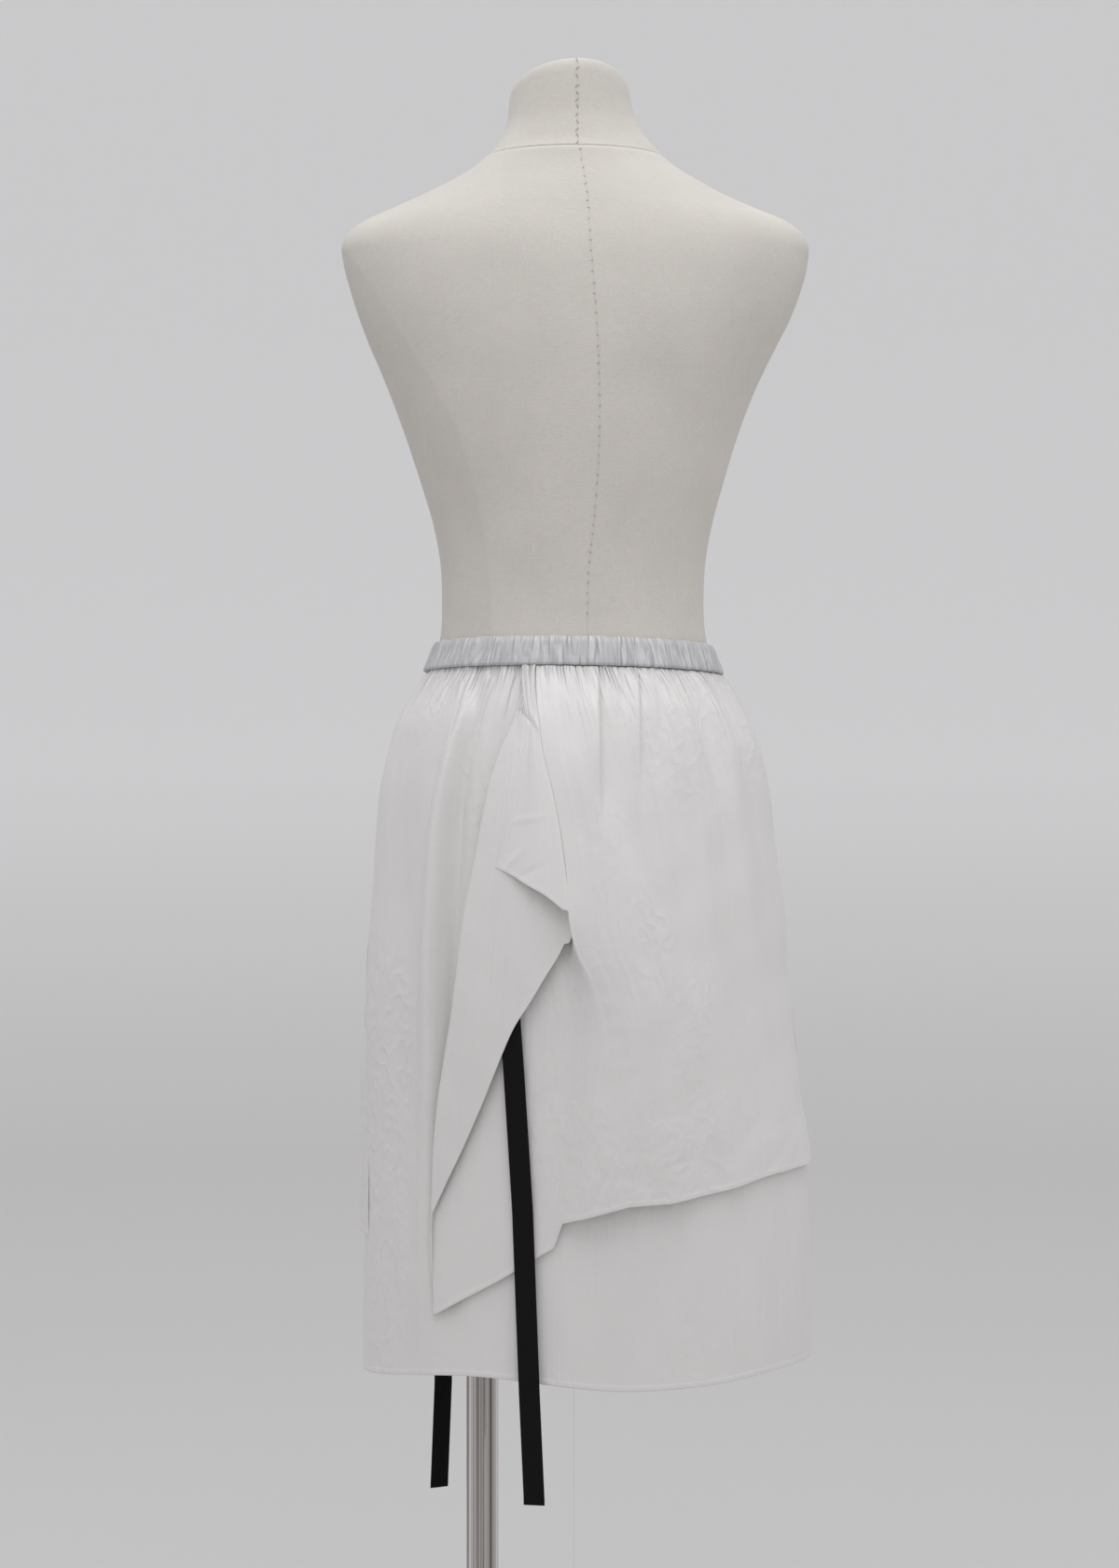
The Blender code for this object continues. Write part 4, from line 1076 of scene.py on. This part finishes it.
def make_underskirt():
    """Back and front of the underskirt."""
    columns = np.concatenate(
        [np.linspace(SEAM_ANGLE, 1.75, 81), np.linspace(1.75, math.pi - SEAM_ANGLE, 271)[1:]]
    )
    place, drop = np.meshgrid(columns, drop_rows(55, 70, 0.6))
    points = under_point(place, drop, UNDER_GATHER_START)
    back = shell("underskirt_back_satin", points, SATIN, hem_distance(points))
    columns = np.linspace(math.pi + SEAM_ANGLE, 2 * math.pi - SEAM_ANGLE, 201)
    place, drop = np.meshgrid(columns, drop_rows(26, 50, 0.6))
    points = under_point(place, drop)
    front = shell("underskirt_front_satin", points, SATIN, hem_distance(points))
    return dress(back, "satin", "underskirt_back"), dress(front, "satin", "underskirt_front")


def make_overskirt():
    """Back with its cascade, and front, of the overskirt."""
    across = np.concatenate(
        [
            np.linspace(0, CREST_SHARE - 0.012, 265),
            CREST_SHARE + np.linspace(-0.010, 0.012, 45),
            np.linspace(CREST_SHARE + 0.016, 1, 22),
            np.linspace(1, 2, 11)[1:],
            np.linspace(2, 3, 39)[1:],
            np.linspace(3, 4, 13)[1:],
            np.linspace(4, 5, 41)[1:],
        ]
    )
    place, drop = np.meshgrid(across, drop_rows(46, 58, 0.5))
    points = back_point(place, drop)
    edge = hem_distance(points)
    run = lengths(points, 1)
    free_end = np.where(place > 4.0, run[:, -1:] - run, NO_HEM)
    back = shell("overskirt_back_satin", points, SATIN, np.minimum(edge, free_end))
    columns = np.linspace(FRONT_START, FRONT_END, 337)
    place, drop = np.meshgrid(columns, drop_rows(40, 46, 0.48))
    points = front_point(place, drop)
    edge = hem_distance(points)
    free_end = lengths(points, 1)
    front = shell("overskirt_front_satin", points, SATIN, np.minimum(edge, free_end))
    return dress(back, "satin", "overskirt_back"), dress(front, "satin", "overskirt_front")


BAND_PROFILE = [
    # share of the height, stand-off from the inside, share of the gather depth
    (0.00, 0.0003, 0.0),
    (0.50, 0.0000, 0.0),
    (0.97, 0.0003, 0.1),
    (1.00, 0.0016, 0.5),
    (0.97, 0.0030, 0.8),
    (0.82, 0.0046, 1.0),
    (0.60, 0.0052, 1.0),
    (0.40, 0.0056, 1.0),
    (0.20, 0.0058, 1.1),
    (0.07, 0.0054, 1.2),
    (0.00, 0.0040, 1.2),
    (-0.01, 0.0018, 0.6),
]


def band_creases(angle, share):
    """The band's uneven gathers: puffs with sharp upright creases between them, each with a depth,
    width, lean and stretch of the band's height of its own."""
    chance = np.random.default_rng(21)
    count = 150
    total = 0.0 * angle
    for i in range(count):
        centre = (i + chance.uniform(-0.38, 0.38)) * 2 * math.pi / count
        lean = chance.normal(0.0, 0.006)
        deep = 0.0020 * chance.uniform(0.35, 1.35)
        wide = chance.uniform(0.006, 0.013)
        middle, half = chance.choice([0.10, 0.45, 0.75]), chance.uniform(0.35, 0.70)
        away = np.angle(np.exp(1j * (angle - centre - lean * (share - 0.5))))
        soft = np.sqrt(away ** 2 + 4e-6) / wide
        total = total - deep * np.exp(-soft - ((share - middle) / half) ** 2)
    return total


def make_waistband():
    """The band over its elastic: a ring whose outside is drawn into many uneven gathers."""
    count = 8 * BAND_GATHERS
    angles = np.arange(count) * 2 * math.pi / count
    profile = np.array(BAND_PROFILE)
    fine = np.linspace(0, len(profile), 40, endpoint=False)
    closed = np.concatenate([profile, profile[:1]])
    known = np.arange(len(closed))
    angle, share = np.meshgrid(angles, np.interp(fine, known, closed[:, 0]))
    out = np.interp(fine, known, closed[:, 1])[:, None]
    gathered = np.interp(fine, known, closed[:, 2])[:, None]
    puffed = out + gathered * (BAND_GATHER_DEPTH + band_creases(angle, share))
    waves = 0.0006 * np.sin(23 * angle) + 0.0004 * np.sin(41 * angle + 1.0)
    flat = BAND_BOTTOM + share * (BAND_TOP - BAND_BOTTOM)
    flat = flat + gathered * waves * np.exp(-(((share - 1.0) / 0.2) ** 2))
    at = around(FORM, angle, flat)
    height = band_plane(flat, at[..., 0], at[..., 1])
    ring = around(FORM, angle, height, BAND_CLEARANCE + puffed)
    points = np.concatenate([ring, ring[:1]])
    uv = np.stack([0.12 * angle, flat], axis=-1)
    uv = np.concatenate([uv, uv[:1]]).reshape(-1, 2)
    faces = quads(0, len(points), count, ring=True)
    marks = {"edge": np.full(len(uv), NO_HEM), "waist": np.zeros(len(uv))}
    piece = make_piece("waistband_gathers", points.reshape(-1, 3), faces, BAND_SATIN, uv, marks)
    return dress(piece, "waistband_satin", "waistband")


def tape_middle(reach_at, x_at, top, end, turn):
    """Heights down a hanging tape, its middle's x, and how far out it hangs: never back through the
    cloth below."""
    heights = np.linspace(top, end, 90)
    needs = []
    for across in (-0.5, 0.0, 0.5):
        edge_x = x_at(heights) + across * TIE_WIDTH * math.cos(turn)
        needs.append(reach_at(edge_x, heights) - across * TIE_WIDTH * math.sin(turn))
    return heights, x_at(heights), np.maximum.accumulate(np.max(needs, axis=0)) + TAPE / 2 + SEAM_GAP


def make_tie(name, reach_at, x_at, end, side, turn):
    """A flat tie with rounded edges and a folded hem at its end."""
    heights, middle_x, middle = tape_middle(reach_at, x_at, end + TIE_LENGTH, end, turn)
    outline = []
    for corner in np.linspace(0, 2 * math.pi, 28, endpoint=False):
        wide = np.sign(math.cos(corner)) * abs(math.cos(corner)) ** 0.3
        deep = np.sign(math.sin(corner)) * abs(math.sin(corner)) ** 0.6
        outline.append((0.5 * wide, 0.5 * deep))
    outline = np.array(outline)
    above_end = heights - end
    thick = np.where(above_end < 0.0085, 1.9, 1.0) * TAPE
    thick = np.where(above_end < 0.0006, 0.8 * TAPE, thick)
    wide = outline[None, :, 0] * TIE_WIDTH
    deep = outline[None, :, 1] * thick[:, None]
    x = middle_x[:, None] + wide * math.cos(turn) - deep * math.sin(turn)
    y = side * (middle[:, None] + wide * math.sin(turn) + deep * math.cos(turn))
    points = np.stack([x, y, heights[:, None] + 0 * x], axis=-1)
    return dress(capped_tube(name + "_tape", points, TAPE_BLACK, None, -1), "black_tape", name)


# The form's seams on the back: x at a height, and the distance that stands for no seam
NO_SEAM = 1.0
SEAM = "height x"
CENTRE_SEAM = table(SEAM, [
    (1.0, 0.0115),
    (1.0225, 0.0116),
    (1.0654, 0.0131),
    (1.0932, 0.0163),
    (1.156, 0.0211),
    (1.1982, 0.0219),
    (1.265, 0.0195),
    (1.3286, 0.0147),
    (1.3842, 0.0108),
    (1.43, 0.004),
])
LEFT_PANEL_SEAM = table(SEAM, [
    (0.98, -0.07),
    (1.0553, -0.0727),
    (1.1372, -0.087),
    (1.196, -0.1077),
    (1.2548, -0.1427),
    (1.3105, -0.1769),
    (1.345, -0.202),
])
RIGHT_PANEL_SEAM = table(SEAM, [
    (0.98, 0.089),
    (1.03, 0.0887),
    (1.075, 0.089),
    (1.12, 0.097),
    (1.165, 0.115),
    (1.215, 0.14),
    (1.262, 0.165),
    (1.3, 0.191),
    (1.33, 0.206),
])


def make_form():
    """The torso under its linen cover: sections from the table, closed by a flat bottom and top."""
    angles = np.arange(288) * 2 * math.pi / 288
    heights = np.concatenate([np.linspace(FORM_BOTTOM, 0.80, 12)[:-1], np.linspace(0.80, FORM_TOP, 190)])
    angle, height = np.meshgrid(angles, heights)
    points = around(FORM, angle, height)
    shares = np.array([0.25, 0.6, 0.9, 0.985])[:, None, None]
    centre_low = np.array([0.0, 0.0, FORM_BOTTOM])
    bottom = centre_low + shares * (points[:1] - centre_low)
    centre_top = points[-1].mean(axis=0)
    top = centre_top + shares[::-1] * (points[-1:] - centre_top)
    points = np.concatenate([bottom, points, top])
    x, y, z = points[..., 0], points[..., 1], points[..., 2]
    left, right = read(LEFT_PANEL_SEAM, "x", z), read(RIGHT_PANEL_SEAM, "x", z)
    capped = np.zeros((len(points), 1), bool)
    capped[:len(shares)] = True
    capped[-len(shares):] = True
    side = np.where(capped, NO_SEAM, y)
    centre = np.where(capped, NO_SEAM, x - read(CENTRE_SEAM, "x", z))
    panel = np.where(capped, NO_SEAM, np.where(x < 0, x - left, right - x))
    marks = {"centre_seam": centre, "panel_seam": panel, "side_seam": side}
    return dress(capped_tube("torso_linen", points, LINEN, marks), "form_linen", "form_torso")


def neck_point(angle, height):
    """The neck's side, sheared up to the back."""
    points = around(NECK, angle, height)
    low, high = NECK[0].height, NECK[-1].height
    share = ((points[..., 2] - low) / (high - low)) ** 1.5
    rise = share * (-NECK_RISE_BACK * points[..., 1] + NECK_RISE_RIGHT * points[..., 0])
    points[..., 2] += rise
    return points


def seam_place(table, x, height):
    """A point of the form's back at this x, and the outward direction there."""
    half = float(read(table, "right" if x > 0 else "left", height))
    angle = np.array(math.acos(x / half))
    make = neck_point if table is NECK else lambda a, h: around(FORM, a, h)
    at = make(angle, np.array(height))
    along = make(angle + 0.002, np.array(height)) - at
    up = make(angle, np.array(height + 0.001)) - at
    out = np.cross(up, along)
    return at, -out / np.linalg.norm(out) * np.sign(out[1] or 1.0)


def make_stitches():
    """Hand stitches across the centre-back seam: short bent threads, uneven in slant and length."""
    chance = np.random.default_rng(31)
    points, faces = [], []
    places = []
    height = FORM_TOP + 0.002
    while height < NECK[-1].height - 0.002:
        places.append((NECK, height, 1.5))
        height += chance.uniform(0.0042, 0.0062)
    height = FORM_TOP - 0.004
    while height > 1.012:
        places.append((FORM, height, 1.0))
        height -= chance.uniform(0.0065, 0.0105)
    for i, (table, height, size) in enumerate(places):
        seam = float(read(CENTRE_SEAM, "x", height)) if table is FORM else NECK_SEAM_X
        slant = math.radians(chance.uniform(15, 75)) * (-1 if i % 2 else 1)
        half = size * chance.uniform(0.0009, 0.0017)
        radius = size * 0.00023
        for k, along in enumerate(np.linspace(-1.0, 1.0, 7)):
            x = seam + half * along * math.cos(slant) + 0.0003 * math.sin(9.0 * i)
            at, out = seam_place(table, x, height + half * along * math.sin(slant))
            across = np.array([-math.sin(slant), 0.0, math.cos(slant)])
            middle = at + out * (0.0006 * (1.0 - along ** 2) - 0.0002)
            for turn in np.arange(6) * math.pi / 3:
                points.append(middle + radius * (math.cos(turn) * across + math.sin(turn) * out))
            if k:
                start = len(points) - 12
                for j in range(6):
                    n = (j + 1) % 6
                    faces.append((start + j, start + n, start + 6 + n, start + 6 + j))
        last = len(points) - 6
        for first in (last - 36, last):
            faces.append((first, first + 1, first + 2, first + 3))
            faces.append((first + 3, first + 4, first + 5, first))
    stitches = make_piece("seam_stitches", np.array(points), np.array(faces), THREAD, closed=False)
    return dress(stitches, "form_linen")


def make_neck():
    """The neck, sheared up to the back, with a low domed top."""
    angles = np.arange(160) * 2 * math.pi / 160
    heights = np.linspace(NECK_BOTTOM, NECK[-1].height, 60)
    angle, height = np.meshgrid(angles, heights)
    points = neck_point(angle, height)
    rim = points[-1]
    middle = rim.mean(axis=0)
    inward = np.array([0.985, 0.95, 0.9, 0.8, 0.6, 0.4, 0.2, 0.06])
    tops = [middle + k * (rim - middle) + np.array([0, 0, NECK_CROWN * (1 - k * k)]) for k in inward]
    points = np.concatenate([points, np.array(tops)])
    foot = points[0].mean(axis=0)
    base = np.array([foot + k * (points[0] - foot) for k in (0.2, 0.7)])
    points = np.concatenate([base, points])
    far = np.full(points.shape[:2], NO_SEAM)
    seam = np.where(points[..., 1] < 0, points[..., 0] - NECK_SEAM_X, NO_SEAM)
    marks = {"centre_seam": seam, "panel_seam": far, "side_seam": far}
    return dress(capped_tube("neck_linen", points, LINEN, marks), "form_linen", "form_neck")


def lathed(name, profile, x, count, material, node):
    """A profile of (radius, height) turned round an upright axis at x."""
    profile = np.array(profile)
    angles = np.arange(count) * 2 * math.pi / count
    radius, height = profile[:, :1], profile[:, 1:]
    points = [x + radius * np.cos(angles), radius * np.sin(angles), height + 0 * angles]
    points = np.stack(points, axis=-1)
    return dress(capped_tube(name, points, material), "stand_metal", node)


def rounded_bar(radius, low, high, bevel):
    """The profile of a bar with rounded rims."""
    turns = np.linspace(0, math.pi / 2, 7)
    lower = [(radius - bevel + bevel * math.sin(t), low + bevel - bevel * math.cos(t)) for t in turns]
    upper = [(radius - bevel + bevel * math.cos(t), high - bevel + bevel * math.sin(t)) for t in turns]
    return lower + upper


def make_stand():
    """Socket, pole and base plate."""
    socket_low = FORM_BOTTOM - SEAM_GAP - SOCKET_HEIGHT
    socket = rounded_bar(SOCKET_RADIUS, socket_low, FORM_BOTTOM - SEAM_GAP, 0.0012)
    pole = rounded_bar(POLE_RADIUS, BASE_HEIGHT + SEAM_GAP, socket_low - SEAM_GAP, 0.0004)
    base = rounded_bar(BASE_RADIUS, 0.0, BASE_HEIGHT, 0.002)
    lathed("socket_steel", socket, POLE_X, 96, REFLECTION_PAINTED_STEEL, "pole_socket")
    lathed("pole_steel", pole, POLE_X, 96, REFLECTION_PAINTED_STEEL, "pole")
    lathed("base_steel", base, 0.0, 192, BASE_STEEL, "base_plate")


# The camera's place, lens and long side of its sensor in millimetres
CAMERA_PLACE = (-0.0123, -3.0, 0.876)
LENS = 78.4
SENSOR = 36.0

# The studio: radius of the flat floor, of the curve up to the wall and of the wall, and the wall's
# top; the paper's colours low and high, the height between them and the share that it glows
FLOOR_RADIUS = 4.8
CURVE_RADIUS = 2.2
WALL_RADIUS = 7.0
WALL_TOP = 7.7
PAPER_LOW = (0.405, 0.400, 0.402)
PAPER_HIGH = (0.52, 0.515, 0.52)
PAPER_FADE = 0.9
PAPER_GLOW = 0.50
SKY = (0.98, 0.99, 1.0, 1.0)
SKY_STRENGTH = 0.78

# Lights: name, place, target, size in metres and power in watts
LIGHT_COLOUR = (0.97, 0.985, 1.0)
LIGHTS = [
    ("fill", (2.2, -1.2, 1.9), (0.0, 0.0, 1.2), 1.4, 5.5),
    ("key", (-0.18, -0.9, 3.3), (0.0, 0.0, 1.0), 2.2, 32.0),
]


def make_camera():
    """The photograph's view of the back, level, from three metres away."""
    data = bpy.data.cameras.new("camera")
    data.lens = LENS
    data.sensor_width = SENSOR
    camera = bpy.data.objects.new("camera", data)
    camera.location = CAMERA_PLACE
    camera.rotation_euler = (math.pi / 2, 0.0, 0.0)
    bpy.context.collection.objects.link(camera)
    bpy.context.scene.camera = camera


def area_light(name, place, target, size, power):
    """A large soft square light that faces a target."""
    data = bpy.data.lights.new(name, "AREA")
    data.energy = power
    data.size = size
    data.color = LIGHT_COLOUR
    light = bpy.data.objects.new(name, data)
    light.location = place
    away = np.array(place) - np.array(target)
    flat = math.hypot(away[0], away[1])
    light.rotation_euler = (math.atan2(flat, away[2]), 0.0, math.atan2(away[0], -away[1]))
    bpy.context.collection.objects.link(light)


def make_studio():
    """A round pale floor that curves up into a wall on all sides, a soft sky and large lights."""
    turns = np.linspace(0, math.pi / 2, 13)
    profile = [(0.0005, 0.0), (1.5, 0.0), (3.0, 0.0)]
    for t in turns:
        profile.append((FLOOR_RADIUS + CURVE_RADIUS * math.sin(t), CURVE_RADIUS * (1 - math.cos(t))))
    profile += [(WALL_RADIUS, 4.2), (WALL_RADIUS, WALL_TOP)]
    profile = np.array(profile) - np.array([0.0, 0.0002])
    angles = np.arange(96) * 2 * math.pi / 96
    radius, height = profile[:, :1], profile[:, 1:]
    points = [radius * np.cos(angles), radius * np.sin(angles), height + 0 * angles]
    points = np.stack(points, axis=-1).reshape(-1, 3)
    material, tree, shader = start_material("studio_paper", (0.50, 0.495, 0.495), 0.95)
    up = add_node(tree, "SeparateXYZ", {0: add_node(tree, "TexCoord").outputs["Object"]}).outputs["Z"]
    paper = blend_colours(tree, spread(tree, up, 0.0, PAPER_FADE, 0.0, 1.0), PAPER_LOW, PAPER_HIGH)
    tree.links.new(paper, shader.inputs["Base Color"])
    tree.links.new(paper, shader.inputs["Emission Color"])
    shader.inputs["Emission Strength"].default_value = PAPER_GLOW
    shader.inputs["Specular IOR Level"].default_value = 0.1
    faces = quads(0, len(profile), len(angles), ring=True, flip=True)
    make_piece("studio", points, faces, material, closed=False)
    world = bpy.data.worlds.new("soft_sky")
    world.use_nodes = True
    sky = world.node_tree.nodes["Background"]
    sky.inputs["Color"].default_value = SKY
    sky.inputs["Strength"].default_value = SKY_STRENGTH
    bpy.context.scene.world = world
    for light in LIGHTS:
        area_light(*light)


make_camera()
make_studio()
under_back, under_front = make_underskirt()
over_back, over_front = make_overskirt()
band = make_waistband()
tie_back = make_tie("tie_back", back_tie_reach, back_tie_x, BACK_TIE_END, -1, BACK_TIE_TURN)
tie_front = make_tie("tie_front", front_tie_reach, front_tie_x, FRONT_TIE_END, 1, FRONT_TIE_TURN)
make_form()
make_neck()
make_stitches()
make_stand()

bpy.context.scene.view_settings.view_transform = "Standard"
